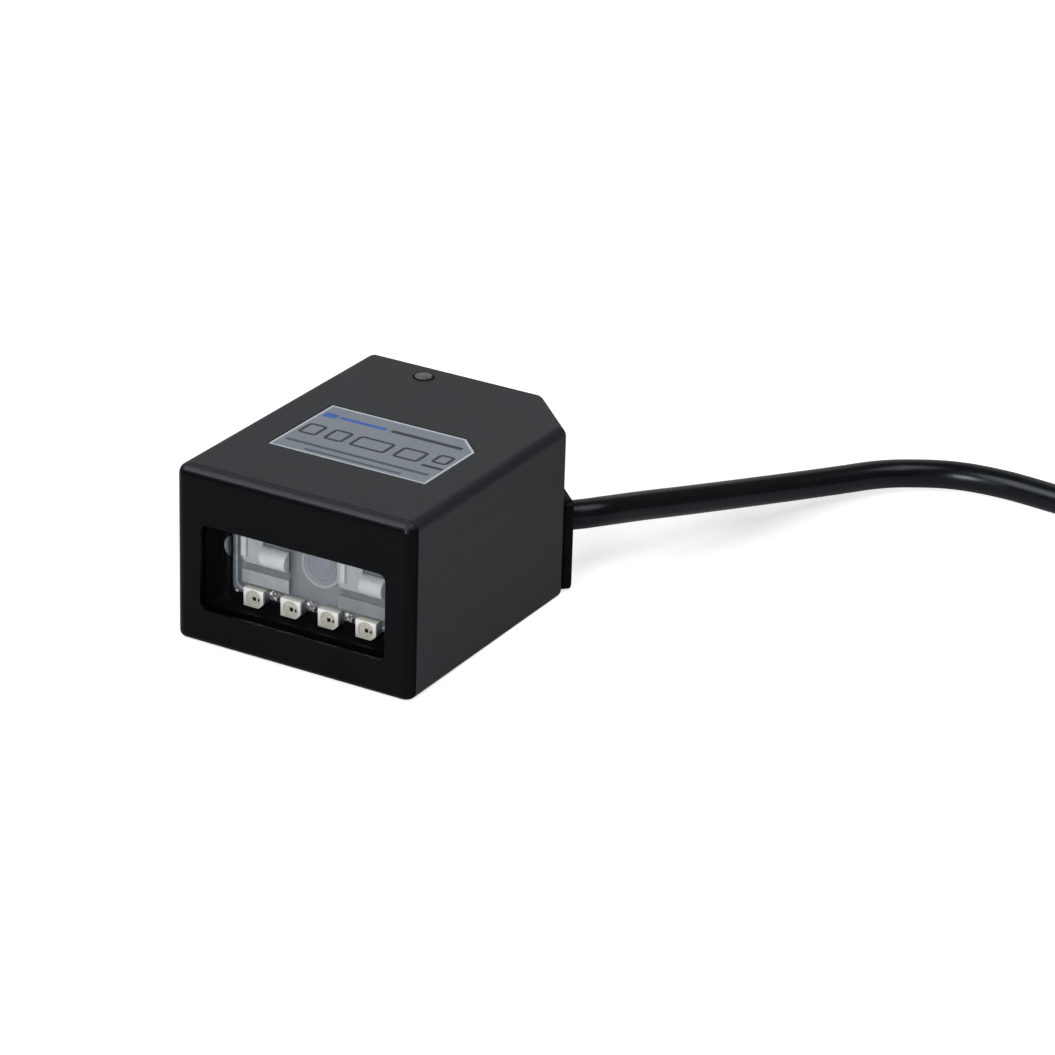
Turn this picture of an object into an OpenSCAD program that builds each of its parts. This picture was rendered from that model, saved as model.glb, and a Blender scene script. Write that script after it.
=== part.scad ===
// Fixed barcode reader: a small windowed housing with a bevelled cable corner, and its lead.
// X is the width, Y runs from the front face to the back, Z is up. All sizes are millimetres.

/* [Housing] */
// Width of the housing
body_w = 40; // [38:0.5:48]
// Depth from the front face to the back
body_d = 52.6; // [50:0.2:64]
// Height of the housing
body_h = 27.4; // [26.4:0.2:34]
// Thickness of the side walls
wall = 1.8; // [1.4:0.1:2.2]
// Thickness of the roof
roof = 2; // [1.6:0.1:2.6]
// Radius of the upper and upright edges
edge_r = 1.6; // [1.2:0.1:2.2]
// Radius of the lower edges
foot_r = 1; // [0.4:0.1:1.1]
// Leg of the bevelled cable corner
corner_cut = 9.5; // [8.5:0.1:11.5]
// Thickness of the base plate
base_t = 2; // [1.6:0.1:2.4]
// Play between a piece and its seat
fit = 0.15; // [0.05:0.05:0.2]

/* [Front] */
// Depth of the front frame at its outside
bezel_d = 1.6; // [1.4:0.1:2.2]
// Open seam between the front frame and the housing
seam_gap = 0.15; // [0.1:0.05:0.3]
// Length of the lip that enters the housing
lip_d = 1.6; // [1:0.1:1.8]
// Thickness of that lip
lip_t = 1.2; // [0.8:0.1:1.4]
// Width of the frame at each side of the window
frame_side = 4.3; // [3.8:0.1:7]
// Height of the frame below the window
frame_bottom = 5.5; // [4.6:0.1:7]
// Height of the frame above the window
frame_top = 8.5; // [5:0.1:10]
// Corner radius of the window opening
window_r = 1.2; // [0.6:0.1:2]
// Thickness of the clear pane
pane_t = 0.8; // [0.6:0.1:0.9]
// Width of the pane's edge behind the frame
pane_edge = 1; // [0.8:0.1:1.2]
// Thickness of the seal in front of the pane
seal_t = 0.2; // [0.1:0.05:0.3]

/* [Roof] */
// Width of the label plate
label_w = 26.6; // [18:0.2:32]
// Depth of the label plate
label_d = 17.2; // [10:0.2:22]
// Bevel at the label's back corner
label_cut = 3.5; // [2:0.1:6]
// Distance from the front face to the label
label_front = 13.8; // [8:0.1:18]
// Thickness of the label
label_t = 0.2; // [0.1:0.05:0.25]
// Depth of the label's recess
label_recess = 0.3; // [0.3:0.05:0.5]
// Diameter of the indicator lens
lamp_d = 3; // [2.4:0.1:3.6]
// Distance of the indicator from the back
lamp_back = 4.7; // [4.4:0.1:6]
// Distance of the indicator to the left of the middle
lamp_side = 7.7; // [5:0.1:9]

/* [Light row] */
// Width of a light-emitting package
led_w = 3.4; // [2.8:0.1:4]
// Height of a package
led_h = 2.8; // [2.4:0.1:3]
// Thickness of a package
led_t = 1.5; // [1.2:0.1:1.9]
// Distance between packages
led_pitch = 6.4; // [5.6:0.1:7]
// Height of the packages above the base
led_z = 5.5; // [5.3:0.1:5.9]
// Distance from the front face to the packages
led_depth = 4.7; // [4.2:0.1:6]
// Width of the board behind them
led_board_w = 28.6; // [27:0.2:29]
// Thickness of that board
led_board_t = 0.8; // [0.6:0.1:1.2]
// Width of the notch for the camera lens
notch_w = 8.3; // [7.6:0.1:9]
// Radius of the half-round lens bars
bar_r = 1.6; // [1.2:0.1:1.8]

/* [Camera] */
// Height of the optical axis above the base
axis_z = 13.3; // [12.8:0.1:13.6]
// Diameter of the lens barrel
barrel_d = 6.8; // [6:0.1:7.2]
// Length of the lens barrel
barrel_l = 7; // [6:0.1:7.6]
// Diameter of the glass lens
lens_d = 3.8; // [3:0.1:4.4]
// Width of the camera block
block_w = 26; // [24:0.2:26.4]
// Depth of the camera block
block_d = 11; // [10.4:0.1:11.6]
// Height of the camera block
block_h = 14; // [13.4:0.1:15]

/* [Boards] */
// Thickness of the circuit boards
board_t = 1.2; // [0.8:0.1:1.6]
// Space between the boards and the walls
board_edge = 1; // [0.6:0.1:1.4]
// Length of the posts between the roof and the main board
post_h = 6.8; // [6:0.1:7]
// Diameter of those posts
post_d = 4.4; // [3.6:0.1:4.8]
// Diameter of the screws
screw_d = 1.9; // [1.5:0.1:2.2]
// Diameter of the screw bosses over the base
boss_d = 5.2; // [4.6:0.1:5.6]
// Length of the screw bosses
boss_h = 11; // [8:0.5:12]
// Diameter of the sounder
beeper_d = 9; // [7:0.5:10]

/* [Mounting] */
// Distance between the two threaded inserts
insert_pitch = 24; // [20:0.5:24]
// Outer diameter of an insert
insert_d = 4.2; // [4:0.1:4.6]
// Bore of an insert, cut for a 3 mm thread
thread_d = 2.5; // [2.4:0.05:3]
// Length of an insert
insert_l = 4.5; // [3:0.1:5]

/* [Cable] */
// Diameter of the cable
cable_d = 4.5; // [3.6:0.1:5]
// Height of the cable's exit above the base
exit_z = 10.1; // [9:0.1:10.8]
// Width of the strain relief's plate
flange_w = 11; // [9.6:0.1:12]
// Height of the plate
flange_h = 13.7; // [13:0.1:14.4]
// Height of its lower edge above the base
flange_z = 0.9; // [0.5:0.1:1.4]
// Thickness of the plate
flange_t = 1.6; // [1.2:0.1:2]
// Gap between the plate and the housing
flange_gap = 0.25; // [0.1:0.05:0.4]
// Radius of the innermost turn of the coil
coil_in = 16.5; // [14:0.5:17]
// Radius of the outermost turn of the coil
coil_out = 34.5; // [34:0.5:36]
// Thickness of the strap round the coil
tie_t = 0.6; // [0.4:0.1:1]
// Width of the plug's grip
plug_w = 15.5; // [14:0.5:18]
// Height of the plug's grip
plug_h = 8; // [7:0.5:10]
// Length of the plug's grip
plug_l = 20; // [16:0.5:26]

/* [Hidden] */
$fn = 48;

// Reach of a cutter past the face that it opens
over = 1;
// A bevel's neighbours move by this share of an inset
bevel_share = sqrt(2) - 1;

right_x = body_w / 2;
front_y = -body_d / 2;
back_y = body_d / 2;
seam_y = front_y + bezel_d;
ceil_z = body_h - roof;
inner_x = right_x - wall;

// Window, pane and seal
window_w = body_w - 2 * frame_side;
window_h = body_h - frame_bottom - frame_top;
window_z = frame_bottom + window_h / 2;
pane_w = window_w + 2 * pane_edge;
pane_h = window_h + 2 * pane_edge;
pane_r = window_r + pane_edge;
pocket_d = pane_t + seal_t;
seal_w = 0.75;

// Label and indicator on the roof
label_mid = 0.2;
lamp_play = 0.2;
dome_h = 0.4;
lamp_collar_d = 4.4;
lamp_collar_t = 1;
lamp_y = back_y - lamp_back;

// Screws, bosses and posts
pilot_play = 0.1;
boss_sink = 0.4;
head_d = 3.2;
head_h = 1.3;
boss_from_front = 18.4;
boss_from_cut = 6;
boss_x = inner_x - boss_d / 2 + boss_sink;
boss_front_y = front_y + boss_from_front;
boss_back_y = back_y - wall - boss_d / 2 + boss_sink;
boss_side_y = back_y - corner_cut - boss_from_cut;
boss_at = [[-boss_x, boss_front_y], [boss_x, boss_front_y], [-boss_x, boss_back_y], [boss_x, boss_side_y]];
base_screw_l = 7;

// Light row: package, board, lens bars
led_n = 4;
led_front = front_y + led_depth;
led_back = led_front + led_t;
led_cup_d = 2.55;
led_cup_t = 0.5;
led_bevel = 0.8;
led_lift = 1;
led_board_z = led_z + led_lift;
led_board_h = 12.5;
led_board_r = 1;
notch_lift = 0.3;
notch_z = led_z + led_h + notch_lift;
bar_w = 8.1;
bar_base_t = 0.3;
bar_step_t = 0.5;
bar_step_h = 2.1;
bar_h = 7.6;
bar_lift = 0.3;
bar_z = axis_z + bar_lift;
bar_pad_w = 4;
bar_pad_t = 0.7;
bar_pad_r = 1.2;
bar_strip_w = 0.9;
bar_strip_in = 0.5;
bar_strip_t = 1.3;
part_w = 1.5;
part_t = 0.4;
part_h = 0.8;

// Bead round both ends of the light board
bead_in = 0.8;
bead_w = 0.36;
bead_t = 0.32;
bead_r = 1.3;
bead_play = 0.3;
bead_end = led_x(led_n) + led_w / 2 + bead_play;

// Tray under the optics
tray_z = 5;
tray_t = 1.2;
tray_rim = 2.1;
tray_play = 0.2;
step_play = 0.1;
tray_half = led_board_w / 2 + tray_rim;
tray_front = seam_y + lip_d + tray_play;
step_z = led_board_z - step_play;
step_front = led_back + led_board_t + tray_play;
rail_w = 2;
rail_x = 11;
stake_d = 1.6;
stake_play = 0.05;
stake_h = led_board_z + led_board_h - tray_z;
stake_x = led_board_w / 2 + stake_d / 2 + stake_play;

// Lugs on the stakes that hold the light board's edges
lug_r = 1.75;
lug_w = 1.05;
lug_t = 0.35;
lug_over = 0.25;
lug_sink = 0.05;
lug_lift = 0.5;
lug_edge = led_board_w / 2 - lug_over;
lug_y = led_back + led_board_t / 2 - stake_d / 2 + lug_sink - lug_t;

// Camera block, lens, sensor
pad_l = 1;
pad_d = 3;
pad_x = 11;
pad_edge = 2.5;
pad_z = [led_board_z + pad_edge, led_board_z + led_board_h - pad_edge];
block_front = led_back + led_board_t + pad_l;
block_back = block_front + block_d;
rim_t = 0.4;
mouth_d = 1.6;
lens_t = 2;
lens_dome = 0.5;
pocket_w = 14;
pocket_h = 10;
sensor_w = 8;
sensor_h = 6.5;
sensor_t = 1;
sensor_play = 0.4;
pocket_back = block_d - barrel_l - sensor_play;
sensor_board_w = 24;
sensor_board_h = block_h - sensor_play;
sensor_board_z = step_z + sensor_play / 2;

// Main board and what it carries
board_gap = 2.6;
main_front = block_back + board_t + board_gap;
board_top = ceil_z - post_h;
board_z = board_top - board_t;
main_back = back_y - wall - board_edge;
main_mid = (main_front + main_back) / 2;
post_from_side = 2.4;
post_from_end = 4;
post_from_cut = 7.3;
post_x = inner_x - board_edge - post_from_side;
post_at = [[-post_x, main_front + post_from_end], [post_x, main_front + post_from_end],
    [-post_x, main_back - post_from_end], [post_x, back_y - corner_cut - post_from_cut]];
board_screw_l = 4;
decoder_size = [11, 11, 1.2];
decoder_from_end = 8;
decoder_at = [0, main_front + decoder_from_end];
memory_size = [8, 6, 1];
memory_shift = 6;
memory_at = [0, main_mid + memory_shift];
oscillator_size = [3.2, 2.5, 0.9];
oscillator_side = 9;
oscillator_from_end = 3;
oscillator_at = [oscillator_side, main_front + oscillator_from_end];
status_size = [1.6, 1.6, 0.7];
pipe_gap = 0.3;
beeper_h = 4;
beeper_side = 8;
beeper_shift = 2;
beeper_at = [-beeper_side, main_mid - beeper_shift];
flex_w = 8;
flex_t = 0.3;
flex_down = 5;
flex_under = 4;

// Threaded inserts
insert_wall = 1.3;
insert_shift = 6;
insert_y = main_mid - insert_shift;

// Cable corner: local X leaves the bevel, local Y runs along it
corner_u = (right_x + back_y - corner_cut) / sqrt(2);
corner_v = (back_y - right_x) / sqrt(2);
flange_r = 1.5;
neck_w = 7.6;
port_cover = 0.7;
port_top = flange_z + flange_h - port_cover;
stop_w = 10;
stop_h = 10;
stop_t = 1.5;
collar_t = 0.6;
collar_l = 0.8;
exit_u = flange_gap + flange_t + collar_l;
socket_u = -14;
socket_size = [4.5, 9.5, 2.2];
connector_size = [3.2, 8, 2.6];
wire_n = 4;
wire_d = 0.9;
wire_pitch = 1.5;
wire_straight = 1.8;
stop_back = -wall - fit - stop_t;
connector_z = board_z - socket_size.z - connector_size.z;

// Lead: straight out of the corner, then down to the outer turn of the coil
cord_sides = 10;
exit_at = [(corner_u + exit_u - corner_v) / sqrt(2), (corner_u + exit_u + corner_v) / sqrt(2), exit_z];
lead_points = [[19.2, 25.5, 10.1], [24.8, 31.5, 10.5], [29.2, 36.2, 10.7], [33.5, 40.8, 10.9],
    [37.9, 45.5, 11.1], [42.3, 50.2, 11.3], [46.7, 55, 11.5], [50.6, 59.1, 11.6],
    [58, 66.2, 11.5], [66.8, 72, 11.1], [76.4, 76.2, 10.4], [84.6, 78.3, 9.6],
    [93.5, 79.3, 8.6], [101.5, 79.5, 7.8], [108.6, 79.5, 7.4]];
coil_at = [127, 45];
coil_layers = 2;
coil_bevel = 1.3;
coil_h = coil_layers * cable_d;
tie_play = 0.05;
tie_w = 7;
tie_turn = 60;

// Tail: from the outer turn to the plug, which lies beside the coil
tail_x = coil_at.x + coil_out;
tail_points = [[tail_x, 27, 2.9], [tail_x, 22.5, 3.5], [tail_x, 18, 4], [tail_x, 14, 4]];
neck_l = 6;
neck_d = 7;
plug_y = tail_points[len(tail_points) - 1].y - neck_l;
plug_axis = plug_h / 2;
plug_r = 2;
shell_size = [12, 12, 4.5];
shell_t = 0.3;
shell_hole = 2.2;
tongue_size = [11, 11, 1.9];

// Plan of the housing, moved inwards, from a given front edge
function outline(inset, front) = [
    [-right_x + inset, front],
    [right_x - inset, front],
    [right_x - inset, back_y - corner_cut - inset * bevel_share],
    [right_x - corner_cut - inset * bevel_share, back_y - inset],
    [-right_x + inset, back_y - inset]];

// Plan of the label, moved outwards
function label_plan(grow) = [
    [-label_w / 2 - grow, -grow],
    [label_w / 2 + grow, -grow],
    [label_w / 2 + grow, label_d - label_cut + grow * bevel_share],
    [label_w / 2 - label_cut + grow * bevel_share, label_d + grow],
    [-label_w / 2 - grow, label_d + grow]];

// Half section of an upright edge with its rounded foot and head
function post_section(steps) = concat(
    [[0, 0]],
    [for (i = [0:steps]) [edge_r - foot_r + foot_r * sin(90 * i / steps), foot_r - foot_r * cos(90 * i / steps)]],
    [for (i = [0:steps]) [edge_r * cos(90 * i / steps), body_h - edge_r + edge_r * sin(90 * i / steps)]]);

// Place along the row of packages
function led_x(i) = (i - (led_n + 1) / 2) * led_pitch;

// Direction, side and ring of a cord at one of its points
function unit(v) = v / norm(v);
function heading(p, i) = unit(p[min(i + 1, len(p) - 1)] - p[max(i - 1, 0)]);
function side_of(d) = unit(cross(d, [0, 0, 1]));
function ring_at(c, d, r) = [for (k = [0:cord_sides - 1])
    c + r * (cos(360 * k / cord_sides) * side_of(d) + sin(360 * k / cord_sides) * cross(side_of(d), d))];

// A tube that follows a list of points
module cord(p, r) {
    last = (len(p) - 1) * cord_sides;
    polyhedron(
        points = [for (i = [0:len(p) - 1]) each ring_at(p[i], heading(p, i), r)],
        faces = concat(
            [[for (k = [0:cord_sides - 1]) k]],
            [for (i = [0:len(p) - 2], k = [0:cord_sides - 1]) let (a = i * cord_sides, m = (k + 1) % cord_sides)
                each [[a + m, a + k, a + k + cord_sides], [a + m, a + k + cord_sides, a + m + cord_sides]]],
            [[for (k = [cord_sides - 1:-1:0]) last + k]]));
}

// Flat rectangle with round corners
module round_rect(w, h, r) {
    square([w - 2 * r, h], center = true);
    square([w, h - 2 * r], center = true);
    for (x = [-1, 1], y = [-1, 1])
        translate([x * (w / 2 - r), y * (h / 2 - r)])
            circle(r = r);
}

// Stands a flat shape up and gives it thickness towards the back
module slab(y, t) {
    translate([0, y + t, 0])
        rotate([90, 0, 0])
            linear_extrude(t)
                children();
}

// Lays a turned shape on the optical axis
module on_axis(y) {
    translate([0, y, axis_z])
        rotate([-90, 0, 0])
            children();
}

// Moves a shape to the middle of the bevelled corner
module at_corner() {
    rotate([0, 0, 45])
        translate([corner_u, corner_v, 0])
            children();
}

// A chip that stands on the main board
module chip(size, at, z) {
    translate([at.x - size.x / 2, at.y - size.y / 2, z])
        cube(size);
}

// The whole rounded form of the reader
module outer_form() {
    hull()
        for (p = outline(edge_r, front_y + edge_r))
            translate(p)
                rotate_extrude($fn = 32)
                    polygon(post_section(8));
}

module housing() {
    color("#333437")
        difference() {
            union() {
                difference() {
                    outer_form();
                    translate([-body_w, front_y - over, -over])
                        cube([2 * body_w, over + bezel_d + seam_gap, body_h + 2 * over]);
                    translate([0, 0, -over])
                        linear_extrude(ceil_z + over)
                            polygon(outline(wall, seam_y - over));
                }
                for (p = boss_at)
                    translate([p.x, p.y, base_t])
                        cylinder(d = boss_d, h = boss_h);
                for (p = post_at)
                    translate([p.x, p.y, board_top])
                        cylinder(d = post_d, h = post_h + roof / 2);
            }
            translate([label_mid, front_y + label_front, body_h - label_recess])
                linear_extrude(label_recess + over)
                    polygon(label_plan(fit));
            translate([-lamp_side, lamp_y, ceil_z - over])
                cylinder(d = lamp_d + 2 * lamp_play, h = roof + 2 * over);
            at_corner()
                translate([-wall - over, -neck_w / 2 - fit, -over])
                    cube([wall + 2 * over, neck_w + 2 * fit, port_top + fit + over]);
            for (p = boss_at)
                translate([p.x, p.y, base_t - over])
                    cylinder(d = screw_d + pilot_play, h = base_screw_l + over);
            for (p = post_at)
                translate([p.x, p.y, board_top - over])
                    cylinder(d = screw_d + pilot_play, h = board_screw_l + over);
        }
}

module front_bezel() {
    color("#141517")
        difference() {
            union() {
                intersection() {
                    outer_form();
                    translate([-body_w, front_y - over, -over])
                        cube([2 * body_w, over + bezel_d, body_h + 2 * over]);
                }
                translate([0, 0, (base_t + ceil_z) / 2])
                    slab(seam_y, lip_d)
                        difference() {
                            square([2 * (inner_x - fit), ceil_z - base_t - 2 * fit], center = true);
                            square([2 * (inner_x - fit - lip_t), ceil_z - base_t - 2 * fit - 2 * lip_t], center = true);
                        }
            }
            translate([0, 0, window_z])
                slab(front_y - over, bezel_d + 2 * over)
                    round_rect(window_w, window_h, window_r);
            translate([0, 0, window_z])
                slab(seam_y - pocket_d, pocket_d + over)
                    round_rect(pane_w + 2 * fit, pane_h + 2 * fit, pane_r + fit);
        }
}

module scan_window() {
    color("#c9d6d8", 0.3)
        translate([0, 0, window_z])
            slab(seam_y - pane_t, pane_t)
                round_rect(pane_w, pane_h, pane_r);
}

module window_seal() {
    color("#0c0c0d")
        translate([0, 0, window_z])
            slab(seam_y - pocket_d, seal_t)
                difference() {
                    round_rect(pane_w, pane_h, pane_r);
                    round_rect(pane_w - 2 * seal_w, pane_h - 2 * seal_w, pane_r - seal_w);
                }
}

module label() {
    color("#b9bec6")
        translate([label_mid, front_y + label_front, body_h - label_recess])
            linear_extrude(label_t)
                polygon(label_plan(0));
}

module indicator_lens() {
    dome_r = (pow(lamp_d / 2, 2) + pow(dome_h, 2)) / (2 * dome_h);
    pipe_z = board_top + status_size.z + pipe_gap;
    color("#6c6f72")
        translate([-lamp_side, lamp_y, 0]) {
            translate([0, 0, pipe_z])
                cylinder(d = lamp_d, h = body_h - pipe_z);
            translate([0, 0, ceil_z - lamp_collar_t])
                cylinder(d = lamp_collar_d, h = lamp_collar_t);
            intersection() {
                translate([0, 0, body_h - over])
                    cylinder(d = lamp_d, h = over + dome_h);
                translate([0, 0, body_h + dome_h - dome_r])
                    sphere(r = dome_r);
            }
        }
}

module base_plate() {
    color("#2a2b2d")
        difference() {
            union() {
                linear_extrude(base_t)
                    polygon(outline(wall + fit, seam_y + fit));
                for (x = [-1, 1])
                    translate([x * insert_pitch / 2, insert_y, 0])
                        cylinder(d = insert_d + 2 * insert_wall, h = insert_l + over);
            }
            for (p = boss_at)
                translate([p.x, p.y, 0]) {
                    translate([0, 0, -over])
                        cylinder(d = screw_d + 2 * pilot_play, h = base_t + 2 * over);
                    translate([0, 0, -over])
                        cylinder(d = head_d + 2 * fit, h = over + fit);
                    translate([0, 0, fit])
                        cylinder(d1 = head_d + 2 * fit, d2 = screw_d + 2 * fit, h = head_h - fit);
                }
            for (x = [-1, 1])
                translate([x * insert_pitch / 2, insert_y, -over])
                    cylinder(d = insert_d, h = insert_l + over);
        }
}

module base_screws() {
    color("#8d8f92")
        for (p = boss_at)
            translate([p.x, p.y, fit]) {
                cylinder(d1 = head_d, d2 = screw_d, h = head_h - fit);
                cylinder(d = screw_d, h = base_screw_l - fit);
            }
}

module mount_insert(i) {
    color("#b5923f")
        translate([(2 * i - 3) * insert_pitch / 2, insert_y, 0])
            difference() {
                cylinder(d = insert_d, h = insert_l);
                translate([0, 0, -over])
                    cylinder(d = thread_d, h = insert_l + 2 * over);
            }
}

module optics_tray() {
    color("#101113") {
        translate([-tray_half, tray_front, tray_z - tray_t])
            cube([2 * tray_half, step_front - tray_front, tray_t]);
        translate([-block_w / 2, step_front, tray_z - tray_t])
            cube([block_w, block_back - step_front, step_z - tray_z + tray_t]);
        for (x = [-1, 1]) {
            translate([x * rail_x - rail_w / 2, tray_front, base_t])
                cube([rail_w, block_back - tray_front, tray_z - tray_t - base_t]);
            translate([x * stake_x, led_back + led_board_t / 2, tray_z])
                cylinder(d = stake_d, h = stake_h);
            translate([x * (lug_edge + lug_w - lug_r), 0, axis_z + lug_lift])
                slab(lug_y, lug_t)
                    intersection() {
                        circle(r = lug_r);
                        translate([x > 0 ? lug_r - lug_w : -lug_r, -lug_r])
                            square([lug_w, 2 * lug_r]);
                    }
        }
    }
}

// Board with a notch for the lens and a raised bead round each end
module led_board() {
    bead_h = led_board_h - 2 * bead_in;
    color("#c4c9cc") {
        slab(led_back, led_board_t)
            difference() {
                translate([0, led_board_z + led_board_h / 2])
                    round_rect(led_board_w, led_board_h, led_board_r);
                translate([-notch_w / 2, notch_z])
                    square([notch_w, led_board_z + led_board_h - notch_z + over]);
            }
        translate([0, 0, led_board_z + led_board_h / 2])
            slab(led_back - bead_t, bead_t)
                difference() {
                    round_rect(led_board_w - 2 * bead_in, bead_h, bead_r);
                    round_rect(led_board_w - 2 * (bead_in + bead_w), bead_h - 2 * bead_w, bead_r - bead_w);
                    square([2 * bead_end, led_board_h], center = true);
                }
    }
}

// White package with a round cup and one bevelled lower corner
module led(i) {
    color("#f1f0ea")
        translate([led_x(i), 0, led_z])
            difference() {
                slab(led_front, led_t)
                    polygon([[-led_w / 2, 0], [led_w / 2 - led_bevel, 0], [led_w / 2, led_bevel],
                        [led_w / 2, led_h], [-led_w / 2, led_h]]);
                translate([0, led_front - over, led_h / 2])
                    rotate([-90, 0, 0])
                        cylinder(d = led_cup_d, h = over + led_cup_t);
            }
}

module led_parts() {
    color("#b8babc")
        for (i = [1:led_n - 1])
            translate([(led_x(i) + led_x(i + 1)) / 2 - part_w / 2, led_back - part_t, led_board_z + part_h / 2])
                cube([part_w, part_t, part_h]);
}

// Frosted lens block: raised step below, a pad with a strip at the left, a half-round lens beside it
module side_lens(i) {
    side = 2 * i - 3;
    left = side < 0 ? -notch_w / 2 - bar_w : notch_w / 2;
    pad_low = bar_z - bar_r;
    pad_h = notch_z + bar_h - pad_low;
    color("#dfe5e8", 0.7) {
        translate([left, led_back - bar_base_t, notch_z])
            cube([bar_w, bar_base_t, bar_h]);
        translate([left, led_back - bar_step_t, notch_z])
            cube([bar_w, bar_step_t, bar_step_h]);
        translate([left, 0, pad_low])
            slab(led_back - bar_pad_t, bar_pad_t) {
                translate([bar_pad_r, 0])
                    square([bar_pad_w - bar_pad_r, pad_h]);
                translate([0, bar_pad_r])
                    square([bar_pad_w, pad_h - bar_pad_r]);
                translate([bar_pad_r, bar_pad_r])
                    circle(r = bar_pad_r);
            }
        translate([left + bar_strip_in, led_back - bar_strip_t, pad_low + bar_pad_r])
            cube([bar_strip_w, bar_strip_t, pad_h - bar_pad_r]);
        translate([left + bar_pad_w, led_back - bar_base_t, bar_z])
            intersection() {
                rotate([0, 90, 0])
                    cylinder(r = bar_r, h = bar_w - bar_pad_w);
                translate([0, -2 * bar_r, -bar_r])
                    cube([bar_w, 2 * bar_r, 2 * bar_r]);
            }
    }
}

module optics_chassis() {
    color("#b4b9bc") {
        difference() {
            translate([-block_w / 2, block_front, step_z])
                cube([block_w, block_d, block_h]);
            on_axis(block_front - over)
                cylinder(d = barrel_d + 2 * fit, h = block_d + 2 * over);
            translate([-pocket_w / 2, block_back - pocket_back, axis_z - pocket_h / 2])
                cube([pocket_w, pocket_back + over, pocket_h]);
        }
        for (x = [-1, 1], z = pad_z)
            translate([x * pad_x, block_front - pad_l, z])
                rotate([-90, 0, 0])
                    cylinder(d = pad_d, h = pad_l);
    }
}

module lens_barrel() {
    color("#c6ccd0")
        on_axis(block_front)
            difference() {
                cylinder(d = barrel_d, h = barrel_l);
                translate([0, 0, -over])
                    cylinder(d = lens_d, h = barrel_l + 2 * over);
                cylinder(d1 = barrel_d - 2 * rim_t, d2 = lens_d, h = mouth_d);
            }
}

module objective_lens() {
    glass_r = lens_d / 2 - fit / 3;
    dome_r = (pow(glass_r, 2) + pow(lens_dome, 2)) / (2 * lens_dome);
    color("#8fa0c0", 0.6)
        on_axis(block_front + mouth_d) {
            translate([0, 0, lens_dome])
                cylinder(r = glass_r, h = lens_t);
            intersection() {
                cylinder(r = glass_r, h = lens_dome + lens_t / 2);
                translate([0, 0, dome_r])
                    sphere(r = dome_r);
            }
        }
}

module image_sensor() {
    color("#1d2a3a")
        translate([-sensor_w / 2, block_back - sensor_t, axis_z - sensor_h / 2])
            cube([sensor_w, sensor_t, sensor_h]);
}

module sensor_board() {
    color("#1f4a36")
        translate([-sensor_board_w / 2, block_back, sensor_board_z])
            cube([sensor_board_w, board_t, sensor_board_h]);
}

// Flat cable down the back of the sensor board and along the main board's underside
module flex_link() {
    flex_y = block_back + board_t;
    color("#b3702c")
        translate([-flex_w / 2, 0, 0])
            rotate([90, 0, 90])
                linear_extrude(flex_w)
                    polygon([[flex_y, board_z - flex_down], [flex_y + flex_t, board_z - flex_down],
                        [flex_y + flex_t, board_z - flex_t], [main_front + flex_under, board_z - flex_t],
                        [main_front + flex_under, board_z], [flex_y, board_z]]);
}

module main_board() {
    color("#1f4a36")
        difference() {
            translate([0, 0, board_z])
                linear_extrude(board_t)
                    polygon(outline(wall + board_edge, main_front));
            for (p = post_at)
                translate([p.x, p.y, board_z - over])
                    cylinder(d = screw_d + 2 * pilot_play, h = board_t + 2 * over);
        }
}

module decoder_chip() {
    color("#1a1a1c")
        chip(decoder_size, decoder_at, board_top);
}

module memory_chip() {
    color("#1a1a1c")
        chip(memory_size, memory_at, board_top);
}

module oscillator() {
    color("#c0c2c4")
        chip(oscillator_size, oscillator_at, board_top);
}

module status_led() {
    color("#f1f0ea")
        chip(status_size, [-lamp_side, lamp_y], board_top);
}

module beeper() {
    color("#1a1a1c")
        translate([beeper_at.x, beeper_at.y, board_z - beeper_h])
            cylinder(d = beeper_d, h = beeper_h);
}

module board_screws() {
    color("#8d8f92")
        for (p = post_at)
            translate([p.x, p.y, board_z]) {
                translate([0, 0, -head_h])
                    cylinder(d = head_d, h = head_h);
                cylinder(d = screw_d, h = board_t + board_screw_l - over);
            }
}

module cable_socket() {
    color("#e4e2da")
        at_corner()
            translate([socket_u - socket_size.x / 2, -socket_size.y / 2, board_z - socket_size.z])
                cube(socket_size);
}

module cable_connector() {
    color("#e4e2da")
        at_corner()
            translate([socket_u - connector_size.x / 2, -connector_size.y / 2, connector_z])
                cube(connector_size);
}

// Wires from the strain relief to the side of the connector
module inner_wires() {
    plug_u = socket_u + connector_size.x / 2;
    plug_z = connector_z + connector_size.z / 2;
    color("#a33b33")
        at_corner()
            for (i = [1:wire_n])
                translate([0, (i - (wire_n + 1) / 2) * wire_pitch, 0])
                    cord([[stop_back, 0, exit_z], [stop_back - wire_straight, 0, exit_z],
                        [plug_u + wire_straight, 0, plug_z], [plug_u, 0, plug_z]], wire_d / 2);
}

// Moulded strain relief: plate outside, neck through the wall, stop inside
module cable_flange() {
    color("#1b1c1e")
        at_corner() {
            translate([flange_gap, 0, flange_z + flange_h / 2])
                rotate([90, 0, 90])
                    linear_extrude(flange_t)
                        round_rect(flange_w, flange_h, flange_r);
            translate([-wall - fit, -neck_w / 2, base_t + fit])
                cube([wall + fit + flange_gap, neck_w, port_top - base_t - fit]);
            translate([stop_back, -stop_w / 2, exit_z - stop_h / 2])
                cube([stop_t, stop_w, stop_h]);
            translate([flange_gap + flange_t, 0, exit_z])
                rotate([0, 90, 0])
                    cylinder(d1 = cable_d + 2 * collar_t, d2 = cable_d, h = collar_l);
        }
}

module cable() {
    color("#1d1d1f")
        cord(concat([exit_at], lead_points), cable_d / 2);
}

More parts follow.
